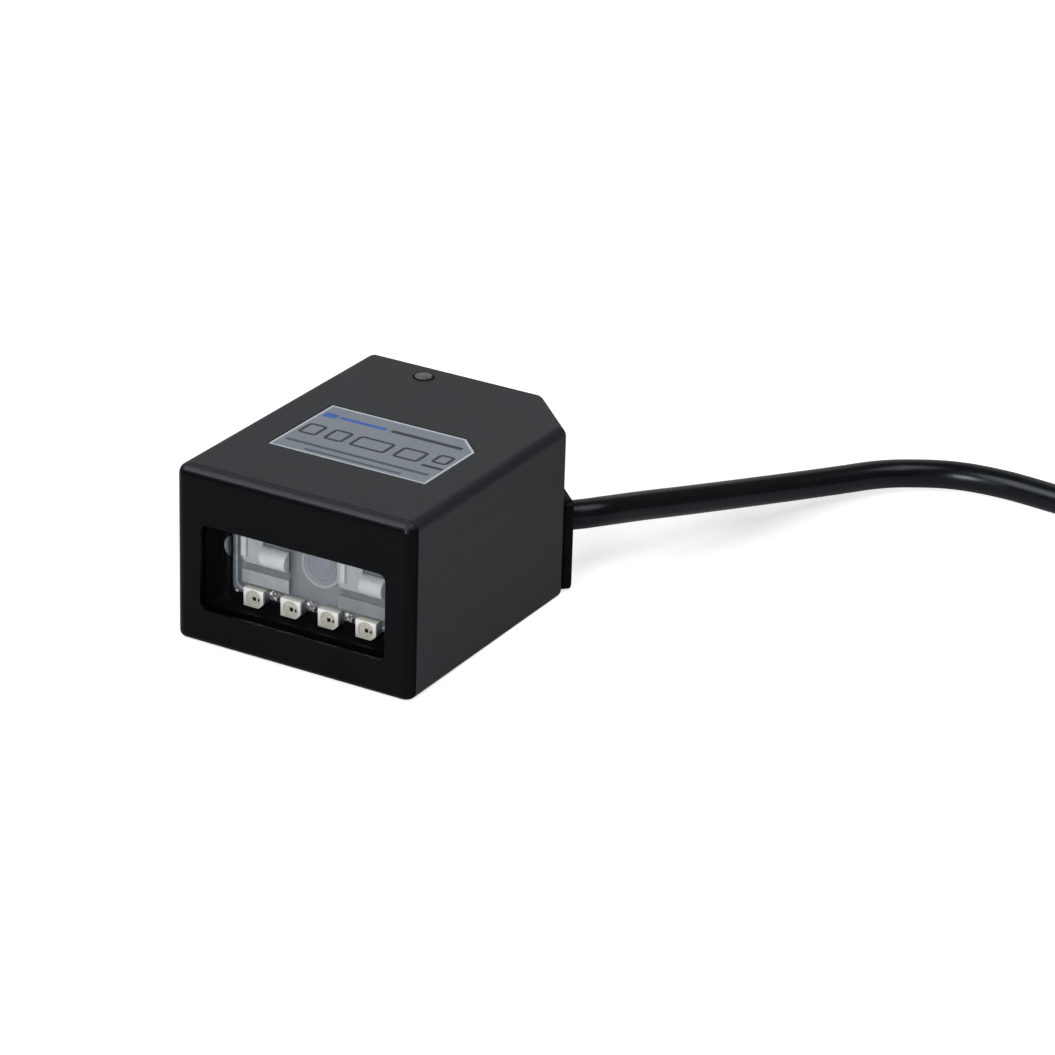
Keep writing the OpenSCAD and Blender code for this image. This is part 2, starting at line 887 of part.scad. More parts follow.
module cable_coil() {
    inner = coil_in - cable_d / 2;
    outer = coil_out + cable_d / 2;
    color("#1d1d1f")
        translate([coil_at.x, coil_at.y, tie_t])
            rotate_extrude()
                polygon([[inner + coil_bevel, 0], [outer - coil_bevel, 0], [outer, coil_bevel],
                    [outer, coil_h - coil_bevel], [outer - coil_bevel, coil_h], [inner + coil_bevel, coil_h],
                    [inner, coil_h - coil_bevel], [inner, coil_bevel]]);
}

module cable_tail() {
    color("#1d1d1f")
        cord(tail_points, cable_d / 2);
}

// Strap that closes round the turns at one place
module coil_tie() {
    width = coil_out - coil_in + cable_d;
    inner = coil_in - cable_d / 2;
    color("#3a3b3e")
        translate([coil_at.x, coil_at.y, 0])
            rotate([0, 0, tie_turn])
                intersection() {
                    rotate_extrude()
                        difference() {
                            translate([inner - tie_t, 0])
                                square([width + 2 * tie_t, coil_h + 2 * tie_t]);
                            translate([inner - tie_play, tie_t - tie_play])
                                square([width + 2 * tie_play, coil_h + 2 * tie_play]);
                        }
                    translate([0, -tie_w / 2, 0])
                        cube([inner + width + 2 * tie_t, tie_w, coil_h + 2 * tie_t]);
                }
}

// Grip of the plug with a tapered neck towards the cable
module plug_grip() {
    color("#1b1c1e")
        translate([tail_x, plug_y, plug_axis]) {
            slab(-plug_l, plug_l)
                round_rect(plug_w, plug_h, plug_r);
            rotate([-90, 0, 0])
                cylinder(d1 = neck_d, d2 = cable_d, h = neck_l);
        }
}

// Metal mouth of the plug with its two catch holes
module plug_shell() {
    color("#c8cacc")
        translate([tail_x, plug_y - plug_l - shell_size.y, plug_axis])
            difference() {
                translate([-shell_size.x / 2, 0, -shell_size.z / 2])
                    cube(shell_size);
                translate([-shell_size.x / 2 + shell_t, -over, -shell_size.z / 2 + shell_t])
                    cube([shell_size.x - 2 * shell_t, shell_size.y - shell_t + over, shell_size.z - 2 * shell_t]);
                for (x = [-1, 1])
                    translate([x * shell_size.x / 4 - shell_hole / 2, shell_size.y / 2, 0])
                        cube([shell_hole, shell_hole, shell_size.z]);
            }
}

module plug_tongue() {
    color("#e8e6df")
        translate([tail_x - tongue_size.x / 2, plug_y - plug_l - shell_t - tongue_size.y, plug_axis])
            translate([0, 0, shell_size.z / 2 - shell_t - tongue_size.z])
                cube(tongue_size);
}

housing();
front_bezel();
scan_window();
window_seal();
label();
indicator_lens();
base_plate();
base_screws();
for (i = [1:2])
    mount_insert(i);
optics_tray();
led_board();
for (i = [1:led_n])
    led(i);
led_parts();
for (i = [1:2])
    side_lens(i);
optics_chassis();
lens_barrel();
objective_lens();
image_sensor();
sensor_board();
flex_link();
main_board();
decoder_chip();
memory_chip();
oscillator();
beeper();
status_led();
board_screws();
cable_socket();
cable_connector();
inner_wires();
cable_flange();
cable();
cable_coil();
cable_tail();
coil_tie();
plug_grip();
plug_shell();
plug_tongue();
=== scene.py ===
import bpy
import math
from mathutils import Matrix, Vector


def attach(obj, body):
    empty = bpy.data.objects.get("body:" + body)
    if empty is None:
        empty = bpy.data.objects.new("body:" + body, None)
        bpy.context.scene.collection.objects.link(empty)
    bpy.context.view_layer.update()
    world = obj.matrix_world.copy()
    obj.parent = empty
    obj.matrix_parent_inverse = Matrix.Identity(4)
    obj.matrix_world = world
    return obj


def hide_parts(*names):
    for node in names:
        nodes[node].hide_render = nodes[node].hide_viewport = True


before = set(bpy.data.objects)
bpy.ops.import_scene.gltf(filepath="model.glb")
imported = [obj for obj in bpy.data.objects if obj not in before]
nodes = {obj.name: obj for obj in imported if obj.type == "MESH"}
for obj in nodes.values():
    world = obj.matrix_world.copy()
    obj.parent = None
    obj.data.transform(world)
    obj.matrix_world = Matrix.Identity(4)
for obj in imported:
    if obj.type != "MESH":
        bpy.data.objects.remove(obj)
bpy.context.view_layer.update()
scene = bpy.context.scene
mm = 0.001
bite = 0.05  # mm that a piece sinks into the one it sits on
near = 0.1  # mm, reach when an edge is picked by its place
tiny = 1e-5  # m, shorter than any edge here
square = 0.999  # how squarely a picked face looks along its axis
alongX, alongY = (0, 90, 0), (90, 0, 0)  # turns that lay a cylinder down


# camera, fitted to the photograph's edges
cameraSettings = {
    "eye": (0.29979, -0.48521, 0.26910),
    "right": (0.86242, 0.50546, 0.02731),
    "down": (0.22868, -0.34090, -0.91186),
    "focalPixels": 4249.16,
    "framePixels": 1055,
    "sensor": 36.0,
    "clip": (0.01, 20),
}


def addCamera(s):
    data = bpy.data.cameras.new("studioCamera")
    data.sensor_fit = "HORIZONTAL"
    data.sensor_width = s["sensor"]
    data.lens = s["sensor"] * s["focalPixels"] / s["framePixels"]
    data.clip_start, data.clip_end = s["clip"]
    cam = bpy.data.objects.new("studioCamera", data)
    scene.collection.objects.link(cam)
    right = Vector(s["right"]).normalized()
    up = -Vector(s["down"]).normalized()
    back = right.cross(up)
    up = back.cross(right)
    turn = Matrix((right, up, back)).transposed().to_4x4()
    cam.matrix_world = Matrix.Translation(s["eye"]) @ turn
    scene.camera = cam


addCamera(cameraSettings)
print("camera set")


# colours and nodes

def linear(code):
    parts = [int(code[i:i + 2], 16) / 255 for i in (1, 3, 5)]
    bent = [c / 12.92 if c <= 0.04045 else ((c + 0.055) / 1.055) ** 2.4 for c in parts]
    return (*bent, 1.0)


def addNode(tree, kind, values=None, links=None, stops=None, **props):
    node = tree.nodes.new("ShaderNode" + kind)
    for key, value in props.items():
        setattr(node, key, value)
    for key, value in (values or {}).items():
        node.inputs[key].default_value = value
    for key, source in (links or {}).items():  # a node stands for its first output
        tree.links.new(getattr(source, "outputs", [source])[0], node.inputs[key])
    if stops:  # places and colours along a colour ramp
        points = node.color_ramp.elements
        while len(points) < len(stops):
            points.new(0.5)
        for point, (place, colour) in zip(points, stops):
            point.position = place
            point.color = colour
    return node


def startMaterial(name):
    mat = bpy.data.materials.new(name)
    mat.use_nodes = True
    tree = mat.node_tree
    tree.nodes.clear()
    return mat, tree, addNode(tree, "TexCoord").outputs["Object"]


def dress(obj, mat):
    obj.data.materials.clear()
    obj.data.materials.append(mat)


# modelling helpers, all lengths in mm

def metres(lengths):
    return [c * mm for c in lengths]


def clearSelection():
    bpy.ops.object.select_all(action="DESELECT")


def setActive(obj):
    clearSelection()
    obj.select_set(True)
    bpy.context.view_layer.objects.active = obj


def enterEdit(obj):
    bpy.context.view_layer.objects.active = obj
    bpy.ops.object.mode_set(mode="EDIT")


def leaveEdit():
    bpy.ops.object.mode_set(mode="OBJECT")


def settle():  # the active object keeps its shape and goes back to the origin, unturned
    bpy.ops.object.transform_apply(location=True, rotation=True, scale=True)


def addBlock(low, high):
    clearSelection()
    middle = [(a + b) / 2 * mm for a, b in zip(low, high)]
    bpy.ops.mesh.primitive_cube_add(size=1, location=middle)
    block = bpy.context.object
    block.scale = [(b - a) * mm for a, b in zip(low, high)]
    settle()
    return block


def addRound(middle, radius, length, turn=(0, 0, 0), sides=48):  # along Z before the turn
    clearSelection()
    bpy.ops.mesh.primitive_cylinder_add(
        vertices=sides, radius=radius * mm, depth=length * mm, location=metres(middle),
        rotation=[math.radians(a) for a in turn])
    settle()
    return bpy.context.object


def startPick(obj, kind):
    enterEdit(obj)
    bpy.ops.mesh.select_mode(type=kind)
    bpy.ops.mesh.select_all(action="DESELECT")
    leaveEdit()


def pickFaces(obj, test):  # leaves edit mode on, with only those faces selected
    startPick(obj, "FACE")
    for face in obj.data.polygons:
        face.select = test(face)
    enterEdit(obj)


def pickEdges(obj, test):  # the test gets the edge's two ends, in metres
    startPick(obj, "EDGE")
    for edge in obj.data.edges:
        a, b = (obj.data.vertices[i].co for i in edge.vertices)
        edge.select = test(a, b)
    enterEdit(obj)


def facing(axis, side=0):  # test for faces square to an axis, on one side or on both
    def test(face):
        lean = getattr(face.normal, axis)
        return (lean * side if side else abs(lean)) > square
    return test


def running(axis):  # test for edges along an axis
    return lambda a, b: abs(getattr(a, axis) - getattr(b, axis)) > tiny


def roundEdges(obj, test, offset, segments):
    pickEdges(obj, test)
    bpy.ops.mesh.bevel(offset=offset * mm, segments=segments)
    leaveEdit()


def stepFace(obj, test, wide, shift):  # insets the picked face and moves it
    pickFaces(obj, test)
    bpy.ops.mesh.inset(thickness=wide * mm)
    bpy.ops.transform.translate(value=metres(shift))
    leaveEdit()


def openUp(obj, axis, wall):  # opens a solid right through, up to a wall
    pickFaces(obj, facing(axis))
    bpy.ops.mesh.inset(thickness=wall * mm)
    bpy.ops.mesh.bridge_edge_loops()
    leaveEdit()


def trim(obj, at, normal, inner=False):  # takes off one side of a plane and closes the cut
    enterEdit(obj)
    bpy.ops.mesh.select_all(action="SELECT")
    bpy.ops.mesh.bisect(plane_co=metres(at), plane_no=normal, use_fill=True, clear_inner=inner,
                        clear_outer=not inner)
    leaveEdit()


def addCap(middle, radii, normal, sides, inner=False):  # half of a flattened ball
    clearSelection()
    bpy.ops.mesh.primitive_uv_sphere_add(segments=sides[0], ring_count=sides[1],
                                         radius=radii[0] * mm)
    cap = bpy.context.object
    cap.scale = [r / radii[0] for r in radii]
    cap.location = metres(middle)
    settle()
    trim(cap, middle, normal, inner)
    return cap


def soften(obj, width, segments=3, angle=35):  # rounds all sharp edges
    setActive(obj)
    bevel = obj.modifiers.new("edgeRound", "BEVEL")
    bevel.width = width * mm
    bevel.segments = segments
    bevel.limit_method = "ANGLE"
    bevel.angle_limit = math.radians(angle)
    bpy.ops.object.modifier_apply(modifier="edgeRound")


def joinPieces(pieces):
    clearSelection()
    for piece in pieces:
        piece.select_set(True)
    bpy.context.view_layer.objects.active = pieces[0]
    bpy.ops.object.join()
    return pieces[0]


def finishPiece(obj, name, mat, stands=(), smooth=35):
    setActive(obj)
    bpy.ops.object.shade_smooth_by_angle(angle=math.radians(smooth))
    obj.name = name
    obj.data.name = name
    dress(obj, mat)
    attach(obj, "root")
    if stands:
        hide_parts(*stands)
    return obj


# materials, each named for what the real piece is made of, and for painted light or shade where
# they carry it
noiseSpan = {"From Min": 0.3, "From Max": 0.7}  # where most of a noise's values lie
plasticIor = 1.53


def spread(colours, low=0.3, high=0.7):  # stops of a two-colour ramp
    return [(low, linear(colours[0])), (high, linear(colours[1]))]


def limits(end, pair):  # one end of a map range
    return {end + " Min": pair[0], end + " Max": pair[1]}


def mouldedAbs(name, colours, grainMm, depthMm, rough, patchMm=9, relief=0.5):
    # ABS from a spark-eroded mould: fine even grain that breaks the gloss into small glints
    mat, tree, place = startMaterial(name)
    grain = addNode(tree, "TexNoise",
                    {"Scale": 1 / (grainMm * mm), "Detail": 2.0, "Roughness": 0.6},
                    {"Vector": place})
    cloud = addNode(tree, "TexNoise", {"Scale": 1 / (patchMm * mm), "Detail": 3.0},
                    {"Vector": place})
    tone = addNode(tree, "ValToRGB", links={"Fac": cloud}, stops=spread(colours, low=0.35))
    satin = addNode(tree, "MapRange", {**noiseSpan, **limits("To", rough)}, {"Value": grain})
    bump = addNode(tree, "Bump", {"Strength": relief, "Distance": depthMm * mm}, {"Height": grain})
    shader = addNode(tree, "BsdfPrincipled",
                     {"IOR": plasticIor, "Specular Tint": linear("#f2f6ff")},
                     {"Base Color": tone, "Roughness": satin, "Normal": bump})
    addNode(tree, "OutputMaterial", links={"Surface": shader})
    return mat


def paintedShadingShare(tree, place, paintedShadingRamps):  # each painted shading ramp is an axis and a span in mm, taken on each side of the middle
    axes = addNode(tree, "SeparateXYZ", links={"Vector": place})
    share = None
    for axis, *span in paintedShadingRamps:
        away = addNode(tree, "Math", links={0: axes.outputs[axis]}, operation="ABSOLUTE")
        shadingRamp = addNode(tree, "MapRange", limits("From", metres(span)), {"Value": away})
        if share is not None:
            shadingRamp = addNode(tree, "Math", links={0: share, 1: shadingRamp}, operation="MULTIPLY")
        share = shadingRamp
    return share


def patchedSkin(name, colours, patchMm, rough, values, detail=3.0, stretch=(1, 1, 1), paintedShadingRamps=()):
    # tone and gloss that vary a little from patch to patch; given shading ramps, the tone is
    # painted shading instead
    mat, tree, place = startMaterial(name)
    laid = addNode(tree, "Mapping", {"Scale": stretch}, {"Vector": place})
    cloud = addNode(tree, "TexNoise", {"Scale": 1 / (patchMm * mm), "Detail": detail},
                    {"Vector": laid})
    share, stops = cloud, spread(colours)
    if paintedShadingRamps:
        share, stops = paintedShadingShare(tree, place, paintedShadingRamps), spread(colours, low=0.0, high=1.0)
    tone = addNode(tree, "ValToRGB", links={"Fac": share}, stops=stops)
    satin = addNode(tree, "MapRange", {**noiseSpan, **limits("To", rough)}, {"Value": cloud})
    shader = addNode(tree, "BsdfPrincipled", values, {"Base Color": tone, "Roughness": satin})
    addNode(tree, "OutputMaterial", links={"Surface": shader})
    return mat


def plainPlastic(name, colours, patchMm, rough, shine, extra=None):
    # a moulded or coated skin with soft tone patches and a slightly uneven gloss
    values = {"Specular IOR Level": shine, **(extra or {})}
    return patchedSkin(name, colours, patchMm, rough, values)


def paintedShadingPlastic(name, colours, paintedShadingRamps, rough, shine, patchMm=1.5):
    # moulding with painted shading: its tone ramps from the dark colour to the pale one along the
    # given axes, standing in for the shade and light that fall on it
    return patchedSkin(name, colours, patchMm, rough, {"Specular IOR Level": shine}, paintedShadingRamps=paintedShadingRamps)


def grainedMetal(name, colours, grainMm, rough, stretch=(1, 1, 1)):
    # metal with fine drawn or turned marks
    return patchedSkin(name, colours, grainMm, rough, {"Metallic": 1.0}, 4.0, stretch)


bezelSettings = {
    "polished": ("#020203", "#040405"), "patch": 7, "textured": "#111318", "tint": "#ecf1ff",
    "rim": (26.47, 27.1), "trap": (-26.0, -25.0), "rough": (0.26, 0.9), "rimRough": 0.49,
    "shine": (0.12, 0.5), "grain": 0.3, "depth": 0.04, "relief": 0.9,
}


def polishedBezel(name, s):
    # polished front that mirrors the table, a top edge with the housing's grain, and matt
    # walls behind it that trap the light
    mat, tree, place = startMaterial(name)
    cloud = addNode(tree, "TexNoise", {"Scale": 1 / (s["patch"] * mm), "Detail": 3.0},
                    {"Vector": place})
    grain = addNode(tree, "TexNoise",
                    {"Scale": 1 / (s["grain"] * mm), "Detail": 2.0, "Roughness": 0.6},
                    {"Vector": place})
    axes = addNode(tree, "SeparateXYZ", links={"Vector": place})
    rim = addNode(tree, "MapRange", limits("From", metres(s["rim"])), {"Value": axes.outputs["Z"]})
    black = addNode(tree, "ValToRGB", links={"Fac": cloud}, stops=spread(s["polished"]))
    tone = addNode(tree, "Mix", {7: linear(s["textured"])}, {0: rim, 6: black}, data_type="RGBA")
    trap = addNode(tree, "MapRange",
                   {**limits("From", metres(s["trap"])), **limits("To", s["rough"])},
                   {"Value": axes.outputs["Y"]})
    satin = addNode(tree, "Mix", {3: s["rimRough"]}, {0: rim, 2: trap}, data_type="FLOAT")
    shine = addNode(tree, "MapRange", limits("To", s["shine"]), {"Value": rim})
    rise = addNode(tree, "MapRange", {"To Max": s["relief"]}, {"Value": rim})
    bump = addNode(tree, "Bump", {"Distance": s["depth"] * mm}, {"Strength": rise, "Height": grain})
    shader = addNode(tree, "BsdfPrincipled",
                     {"IOR": plasticIor, "Specular Tint": linear(s["tint"])},
                     {"Base Color": tone.outputs[2], "Roughness": satin,
                      "Specular IOR Level": shine, "Normal": bump})
    addNode(tree, "OutputMaterial", links={"Surface": shader})
    return mat


weaveSettings = {
    "colours": ("#141517", "#2c2e31"), "yarn": 0.9, "turn": 60, "stray": 0.4, "relief": 0.6,
    "depth": 0.15, "rough": 0.85, "shine": 0.2,
}


def wovenStrap(name, s):
    # hook-and-loop webbing: crossing yarns that shade each other, with no gloss
    mat, tree, place = startMaterial(name)
    laid = addNode(tree, "Mapping", {"Rotation": (0, 0, math.radians(-s["turn"]))},
                   {"Vector": place})
    yarns = []
    for direction in ("Y", "DIAGONAL"):
        wave = addNode(tree, "TexWave",
                       {"Scale": math.pi / 10 / (s["yarn"] * mm), "Distortion": s["stray"]},
                       {"Vector": laid}, bands_direction=direction)
        yarns.append(wave.outputs["Fac"])
    weave = addNode(tree, "Math", links=dict(enumerate(yarns)), operation="MULTIPLY")
    tone = addNode(tree, "ValToRGB", links={"Fac": weave},
                   stops=spread(s["colours"], low=0.1, high=0.8))
    bump = addNode(tree, "Bump", {"Strength": s["relief"], "Distance": s["depth"] * mm},
                   {"Height": weave})
    shader = addNode(tree, "BsdfPrincipled",
                     {"Roughness": s["rough"], "Specular IOR Level": s["shine"]},
                     {"Base Color": tone, "Normal": bump})
    addNode(tree, "OutputMaterial", links={"Surface": shader})
    return mat


paneSettings = {
    "colour": "#0e1012", "alpha": 0.06, "ior": 1.49, "shine": 0.3, "rough": (0.02, 0.05),
    "patch": 4,
}


def clearAcrylic(name, s):
    # thin hard-coated acrylic: almost nothing but a faint gloss
    mat, tree, place = startMaterial(name)
    dust = addNode(tree, "TexNoise", {"Scale": 1 / (s["patch"] * mm), "Detail": 2.0},
                   {"Vector": place})
    haze = addNode(tree, "MapRange", limits("To", s["rough"]), {"Value": dust})
    shader = addNode(tree, "BsdfPrincipled",
                     {"Base Color": linear(s["colour"]), "Alpha": s["alpha"], "IOR": s["ior"],
                      "Specular IOR Level": s["shine"]}, {"Roughness": haze})
    addNode(tree, "OutputMaterial", links={"Surface": shader})
    return mat


# shell, base and lead
housingAbs = mouldedAbs("mouldedAbsBlack", ("#101216", "#13151a"), 0.3, 0.03, (0.44, 0.54))
baseAbs = mouldedAbs("mouldedAbsBase", ("#151617", "#191a1b"), 0.22, 0.02, (0.5, 0.65))
bezelAbs = polishedBezel("polishedAbsBlack", bezelSettings)
paneAcrylic = clearAcrylic("clearAcrylic", paneSettings)
# black foam for the window seal; on the indicator collar its black is painted shade
sealFoamAndShade = plainPlastic("blackSealFoamAndPaintedShade", ("#050505", "#080808"), 1, (0.7, 0.85), 0.2)
lampPlastic = plainPlastic("smokedPolycarbonate", ("#4a4c4e", "#585a5c"), 1.5, (0.22, 0.3), 0.45)
zincSteel = grainedMetal("zincPlatedSteel", ("#8a8c90", "#a6a8ac"), 0.4, (0.28, 0.42))
turnedBrass = grainedMetal("turnedBrass", ("#9c7b35", "#b8944a"), 0.3, (0.25, 0.38))
reliefPvc = plainPlastic("blackReliefPvc", ("#050506", "#070808"), 2, (0.38, 0.5), 0.08)
jacketPvc = plainPlastic("blackJacketPvc", ("#030304", "#050506"), 3, (0.25, 0.31), 0.33,
                         {"Specular Tint": linear("#e6f0ff")})
tieWeave = wovenStrap("wovenTieStrap", weaveSettings)
contactGold = grainedMetal("goldPlatedContact", ("#c79a3c", "#d8b05a"), 0.4, (0.2, 0.3))
nickelShell = grainedMetal("nickelPlatedShell", ("#b4b4b2", "#c9c9c7"), 0.5, (0.12, 0.22),
                           stretch=(1, 6, 1))

# label and its printing
labelFoil = plainPlastic("satinLabelFilm", ("#848b95", "#8b929c"), 6, (0.42, 0.52), 0.45,
                         {"Metallic": 0.25})
labelRimFoil = plainPlastic("bareFoilRim", ("#b4bcc4", "#c2c9d0"), 0.6, (0.3, 0.45), 0.5)
printBlue = plainPlastic("bluePrintingInk", ("#3a5fa8", "#4468b2"), 1, (0.45, 0.6), 0.3)
printDark = plainPlastic("darkPrintingInk", ("#33383d", "#3b4046"), 1, (0.45, 0.6), 0.3)
printGrey = plainPlastic("greyPrintingInk", ("#4c535a", "#565d64"), 1, (0.45, 0.6), 0.3)

# optics and lights
trayAbs = plainPlastic("polishedTrayBlack", ("#030304", "#050506"), 5, (0.3, 0.36), 0.1)
boardWhite = plainPlastic("whiteSolderMask", ("#b8bec4", "#c6ccd0"), 3, (0.35, 0.5), 0.4)
# painted shade: the white package darkens towards its foot on the board and towards its back
ledPpaPaintedShade = paintedShadingPlastic("whitePackagePpaPaintedShade", ("#a3a29c", "#fcfbf7"),
                      [("Z", 5.3, 8.2), ("Y", 20.3, 21.55)], (0.4, 0.5), 0.4)
siliconeResin = plainPlastic("clearSiliconeResin", ("#b4b2a7", "#c2c0b6"), 0.7, (0.12, 0.2), 0.5)
dieChip = plainPlastic("lightChipDie", ("#14110d", "#241f18"), 0.3, (0.2, 0.3), 0.5)
tinTab = grainedMetal("dullTinTab", ("#a2a4a4", "#b6b8b8"), 0.3, (0.35, 0.5))
tinSolder = plainPlastic("tinSolder", ("#b9bcc0", "#eceef0"), 0.25, (0.12, 0.26), 0.8,
                         {"Metallic": 0.45})
frostedPc = plainPlastic("frostedPolycarbonate", ("#d9dee1", "#e6eaec"), 1.5, (0.3, 0.45), 0.5)
platePc = plainPlastic("clearHazedPlate", ("#b6bcc3", "#c0c6cc"), 3, (0.25, 0.35), 0.5,
                       {"Alpha": 0.22})
padPc = plainPlastic("paleFrostedPad", ("#aab0b5", "#b5bbbf"), 2, (0.3, 0.42), 0.5)
stepPc = plainPlastic("midFrostedStep", ("#9a9fa5", "#a5aaaf"), 2, (0.3, 0.42), 0.5)
# a darker copy of the step, for the right bar: painted shade
stepPcPaintedShade = plainPlastic("frostedStepPaintedShade", ("#81868c", "#8c9196"), 2, (0.3, 0.42), 0.5)
lensPc = plainPlastic("whiteFrostedLens", ("#ced3d6", "#dadee0"), 2, (0.2, 0.3), 0.5,
                      {"Subsurface Weight": 0.6, "Subsurface Radius": (1, 1, 1),
                       "Subsurface Scale": 1.0 * mm})
# painted highlight on the lugs' outer edges, going over to painted shade on their inner side
earPcPaintedHighlight = paintedShadingPlastic("clearLugPaintedHighlight", ("#262a2e", "#959ca3"), [("X", 14.2, 15.1)], (0.15, 0.25), 0.5)
lipPc = plainPlastic("clearFrostedLip", ("#8d949b", "#a0a7ad"), 1, (0.2, 0.3), 0.5)
# painted shade: darker towards the bottom, from z 11.5 mm down to 6.5 mm
chassisPcPaintedShade = paintedShadingPlastic("greyPolycarbonatePaintedShade", ("#5c6166", "#81868c"), [("Z", 6.5, 11.5)],
                         (0.4, 0.55), 0.4)
barrelPc = plainPlastic("paleBarrelPc", ("#8e949b", "#999fa5"), 2, (0.3, 0.42), 0.4)
coatedGlass = plainPlastic("coatedLensGlass", ("#8c8ca2", "#a0a0b4"), 1.6, (0.12, 0.2), 0.6)

# boards and wiring inside
boardGreen = plainPlastic("greenSolderMask", ("#16402a", "#1d4d34"), 2, (0.35, 0.5), 0.4)
chipEpoxy = plainPlastic("blackMouldedEpoxy", ("#161617", "#1d1d1e"), 0.6, (0.5, 0.65), 0.35)
sensorGlass = plainPlastic("darkSensorGlass", ("#101820", "#182634"), 2, (0.05, 0.1), 0.5)
flexFilm = plainPlastic("amberPolyimideFilm", ("#8f541c", "#a9692a"), 2, (0.25, 0.35), 0.5)
ivoryNylon = plainPlastic("ivoryNylon", ("#dcd8ca", "#e8e5da"), 2, (0.45, 0.6), 0.4)
wirePvc = plainPlastic("redWirePvc", ("#7c1d18", "#95291f"), 2, (0.35, 0.45), 0.4)

finishes = {
    "housing": housingAbs, "front_bezel": bezelAbs, "scan_window": paneAcrylic,
    "window_seal": sealFoamAndShade, "label": labelFoil, "indicator_lens": lampPlastic,
    "base_plate": baseAbs, "base_screws": zincSteel, "mount_insert_1": turnedBrass,
    "mount_insert_2": turnedBrass, "optics_tray": trayAbs, "led_board": boardWhite,
    "led_1": ledPpaPaintedShade, "led_2": ledPpaPaintedShade, "led_3": ledPpaPaintedShade, "led_4": ledPpaPaintedShade, "led_parts": tinSolder,
    "side_lens_1": frostedPc, "side_lens_2": frostedPc, "optics_chassis": chassisPcPaintedShade,
    "lens_barrel": barrelPc, "objective_lens": coatedGlass, "image_sensor": sensorGlass,
    "sensor_board": boardGreen, "flex_link": flexFilm, "main_board": boardGreen,
    "decoder_chip": chipEpoxy, "memory_chip": chipEpoxy, "oscillator": zincSteel,
    "beeper": chipEpoxy, "status_led": ledPpaPaintedShade, "board_screws": zincSteel,
    "cable_socket": ivoryNylon, "cable_connector": ivoryNylon, "inner_wires": wirePvc,
    "cable_flange": reliefPvc, "cable": jacketPvc, "cable_coil": jacketPvc,
    "cable_tail": jacketPvc, "coil_tie": tieWeave, "plug_grip": reliefPvc,
    "plug_shell": nickelShell, "plug_tongue": ivoryNylon,
}
for node, mat in finishes.items():
    dress(nodes[node], mat)
print("materials on", len(finishes), "pieces")


# the lead: one curve from the strain relief down to the table, through the coil to the plug
cableSettings = {
    "diameter": 4.5,
    "exit": (17.124, 23.424, 10.1),
    "lead": [(18.7, 25.1, 10.1), (20.5, 28.1, 9.9), (22.8, 35.1, 8.7), (25.7, 42.8, 7.4),
             (28.5, 50.5, 6.1), (31.5, 58.2, 4.9), (34.8, 65.7, 3.9), (38.3, 72.6, 3.2),
             (41.7, 78.4, 2.8), (45.6, 82.6, 2.5), (52, 86.3, 2.35), (60, 87.4, 2.35),
             (70, 86.6, 2.35), (80, 84.8, 2.75), (90, 82.6, 4.2), (100, 80.7, 6.1),
             (108.6, 79.7, 7.2), (117, 79.5, 7.35)],
    "coilAt": (127, 45),
    "coilIn": 16.5,
    "coilOut": 34.5,
    "layers": (7.35, 2.85),
    "arrives": 90,
    "turns": 4,
    "perTurn": 18,
    "drops": 8,
    "dip": 0.7,
    "tail": [(161.5, 36, 2.85), (161.5, 27, 2.9), (161.5, 22.5, 3.5), (161.5, 18, 4),
             (161.5, 14, 4)],
    "steps": 5,
    "roundness": 6,
}


def cablePoints(s):
    points = [s["exit"]] + s["lead"]
    cx, cy = s["coilAt"]
    high, low = s["layers"]

    def onCoil(angle, radius, z):
        a = math.radians(angle)
        return (cx + radius * math.cos(a), cy + radius * math.sin(a), z)

    steps = s["turns"] * s["perTurn"]
    span = s["coilOut"] - s["coilIn"]
    for i in range(steps + 1):  # upper layer, winding inwards
        share = i / steps
        angle = s["arrives"] - 360 * s["turns"] * share
        points.append(onCoil(angle, s["coilOut"] - span * share, high))
    for i in range(1, s["drops"]):  # down to the lower layer on the inside
        share = i / s["drops"]
        ease = share * share * (3 - 2 * share)
        radius = s["coilIn"] - s["dip"] * math.sin(math.pi * share)
        points.append(onCoil(s["arrives"] * (1 - share), radius, high + (low - high) * ease))
    for i in range(steps + 1):  # lower layer, winding outwards
        share = i / steps
        points.append(onCoil(-360 * s["turns"] * share, s["coilIn"] + span * share, low))
    return points + s["tail"]


def addCable(s):
    data = bpy.data.curves.new("leadCable", "CURVE")
    data.dimensions = "3D"
    data.bevel_depth = 1.0  # the points' radius is the real one, so the bounds are right
    data.bevel_resolution = s["roundness"]
    data.resolution_u = s["steps"]
    data.use_fill_caps = True
    spots = [Vector(p) * mm for p in cablePoints(s)]
    spline = data.splines.new("BEZIER")
    spline.bezier_points.add(len(spots) - 1)
    for i, knot in enumerate(spline.bezier_points):
        # a sixth of the way between the neighbours makes the curve pass smoothly
        lean = (spots[min(i + 1, len(spots) - 1)] - spots[max(i - 1, 0)]) / 6
        knot.handle_left_type = knot.handle_right_type = "FREE"
        knot.co = spots[i]
        knot.radius = s["diameter"] / 2 * mm
        knot.handle_left = spots[i] - lean
        knot.handle_right = spots[i] + lean
    spline.use_smooth = True
    obj = bpy.data.objects.new("leadCable", data)
    scene.collection.objects.link(obj)
    return obj, sum((b - a).length for a, b in zip(spots, spots[1:]))


leadCable, leadLength = addCable(cableSettings)
dress(leadCable, jacketPvc)
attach(leadCable, "root")
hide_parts("cable", "cable_coil", "cable_tail")
print("cable laid, about", round(leadLength, 3), "m")


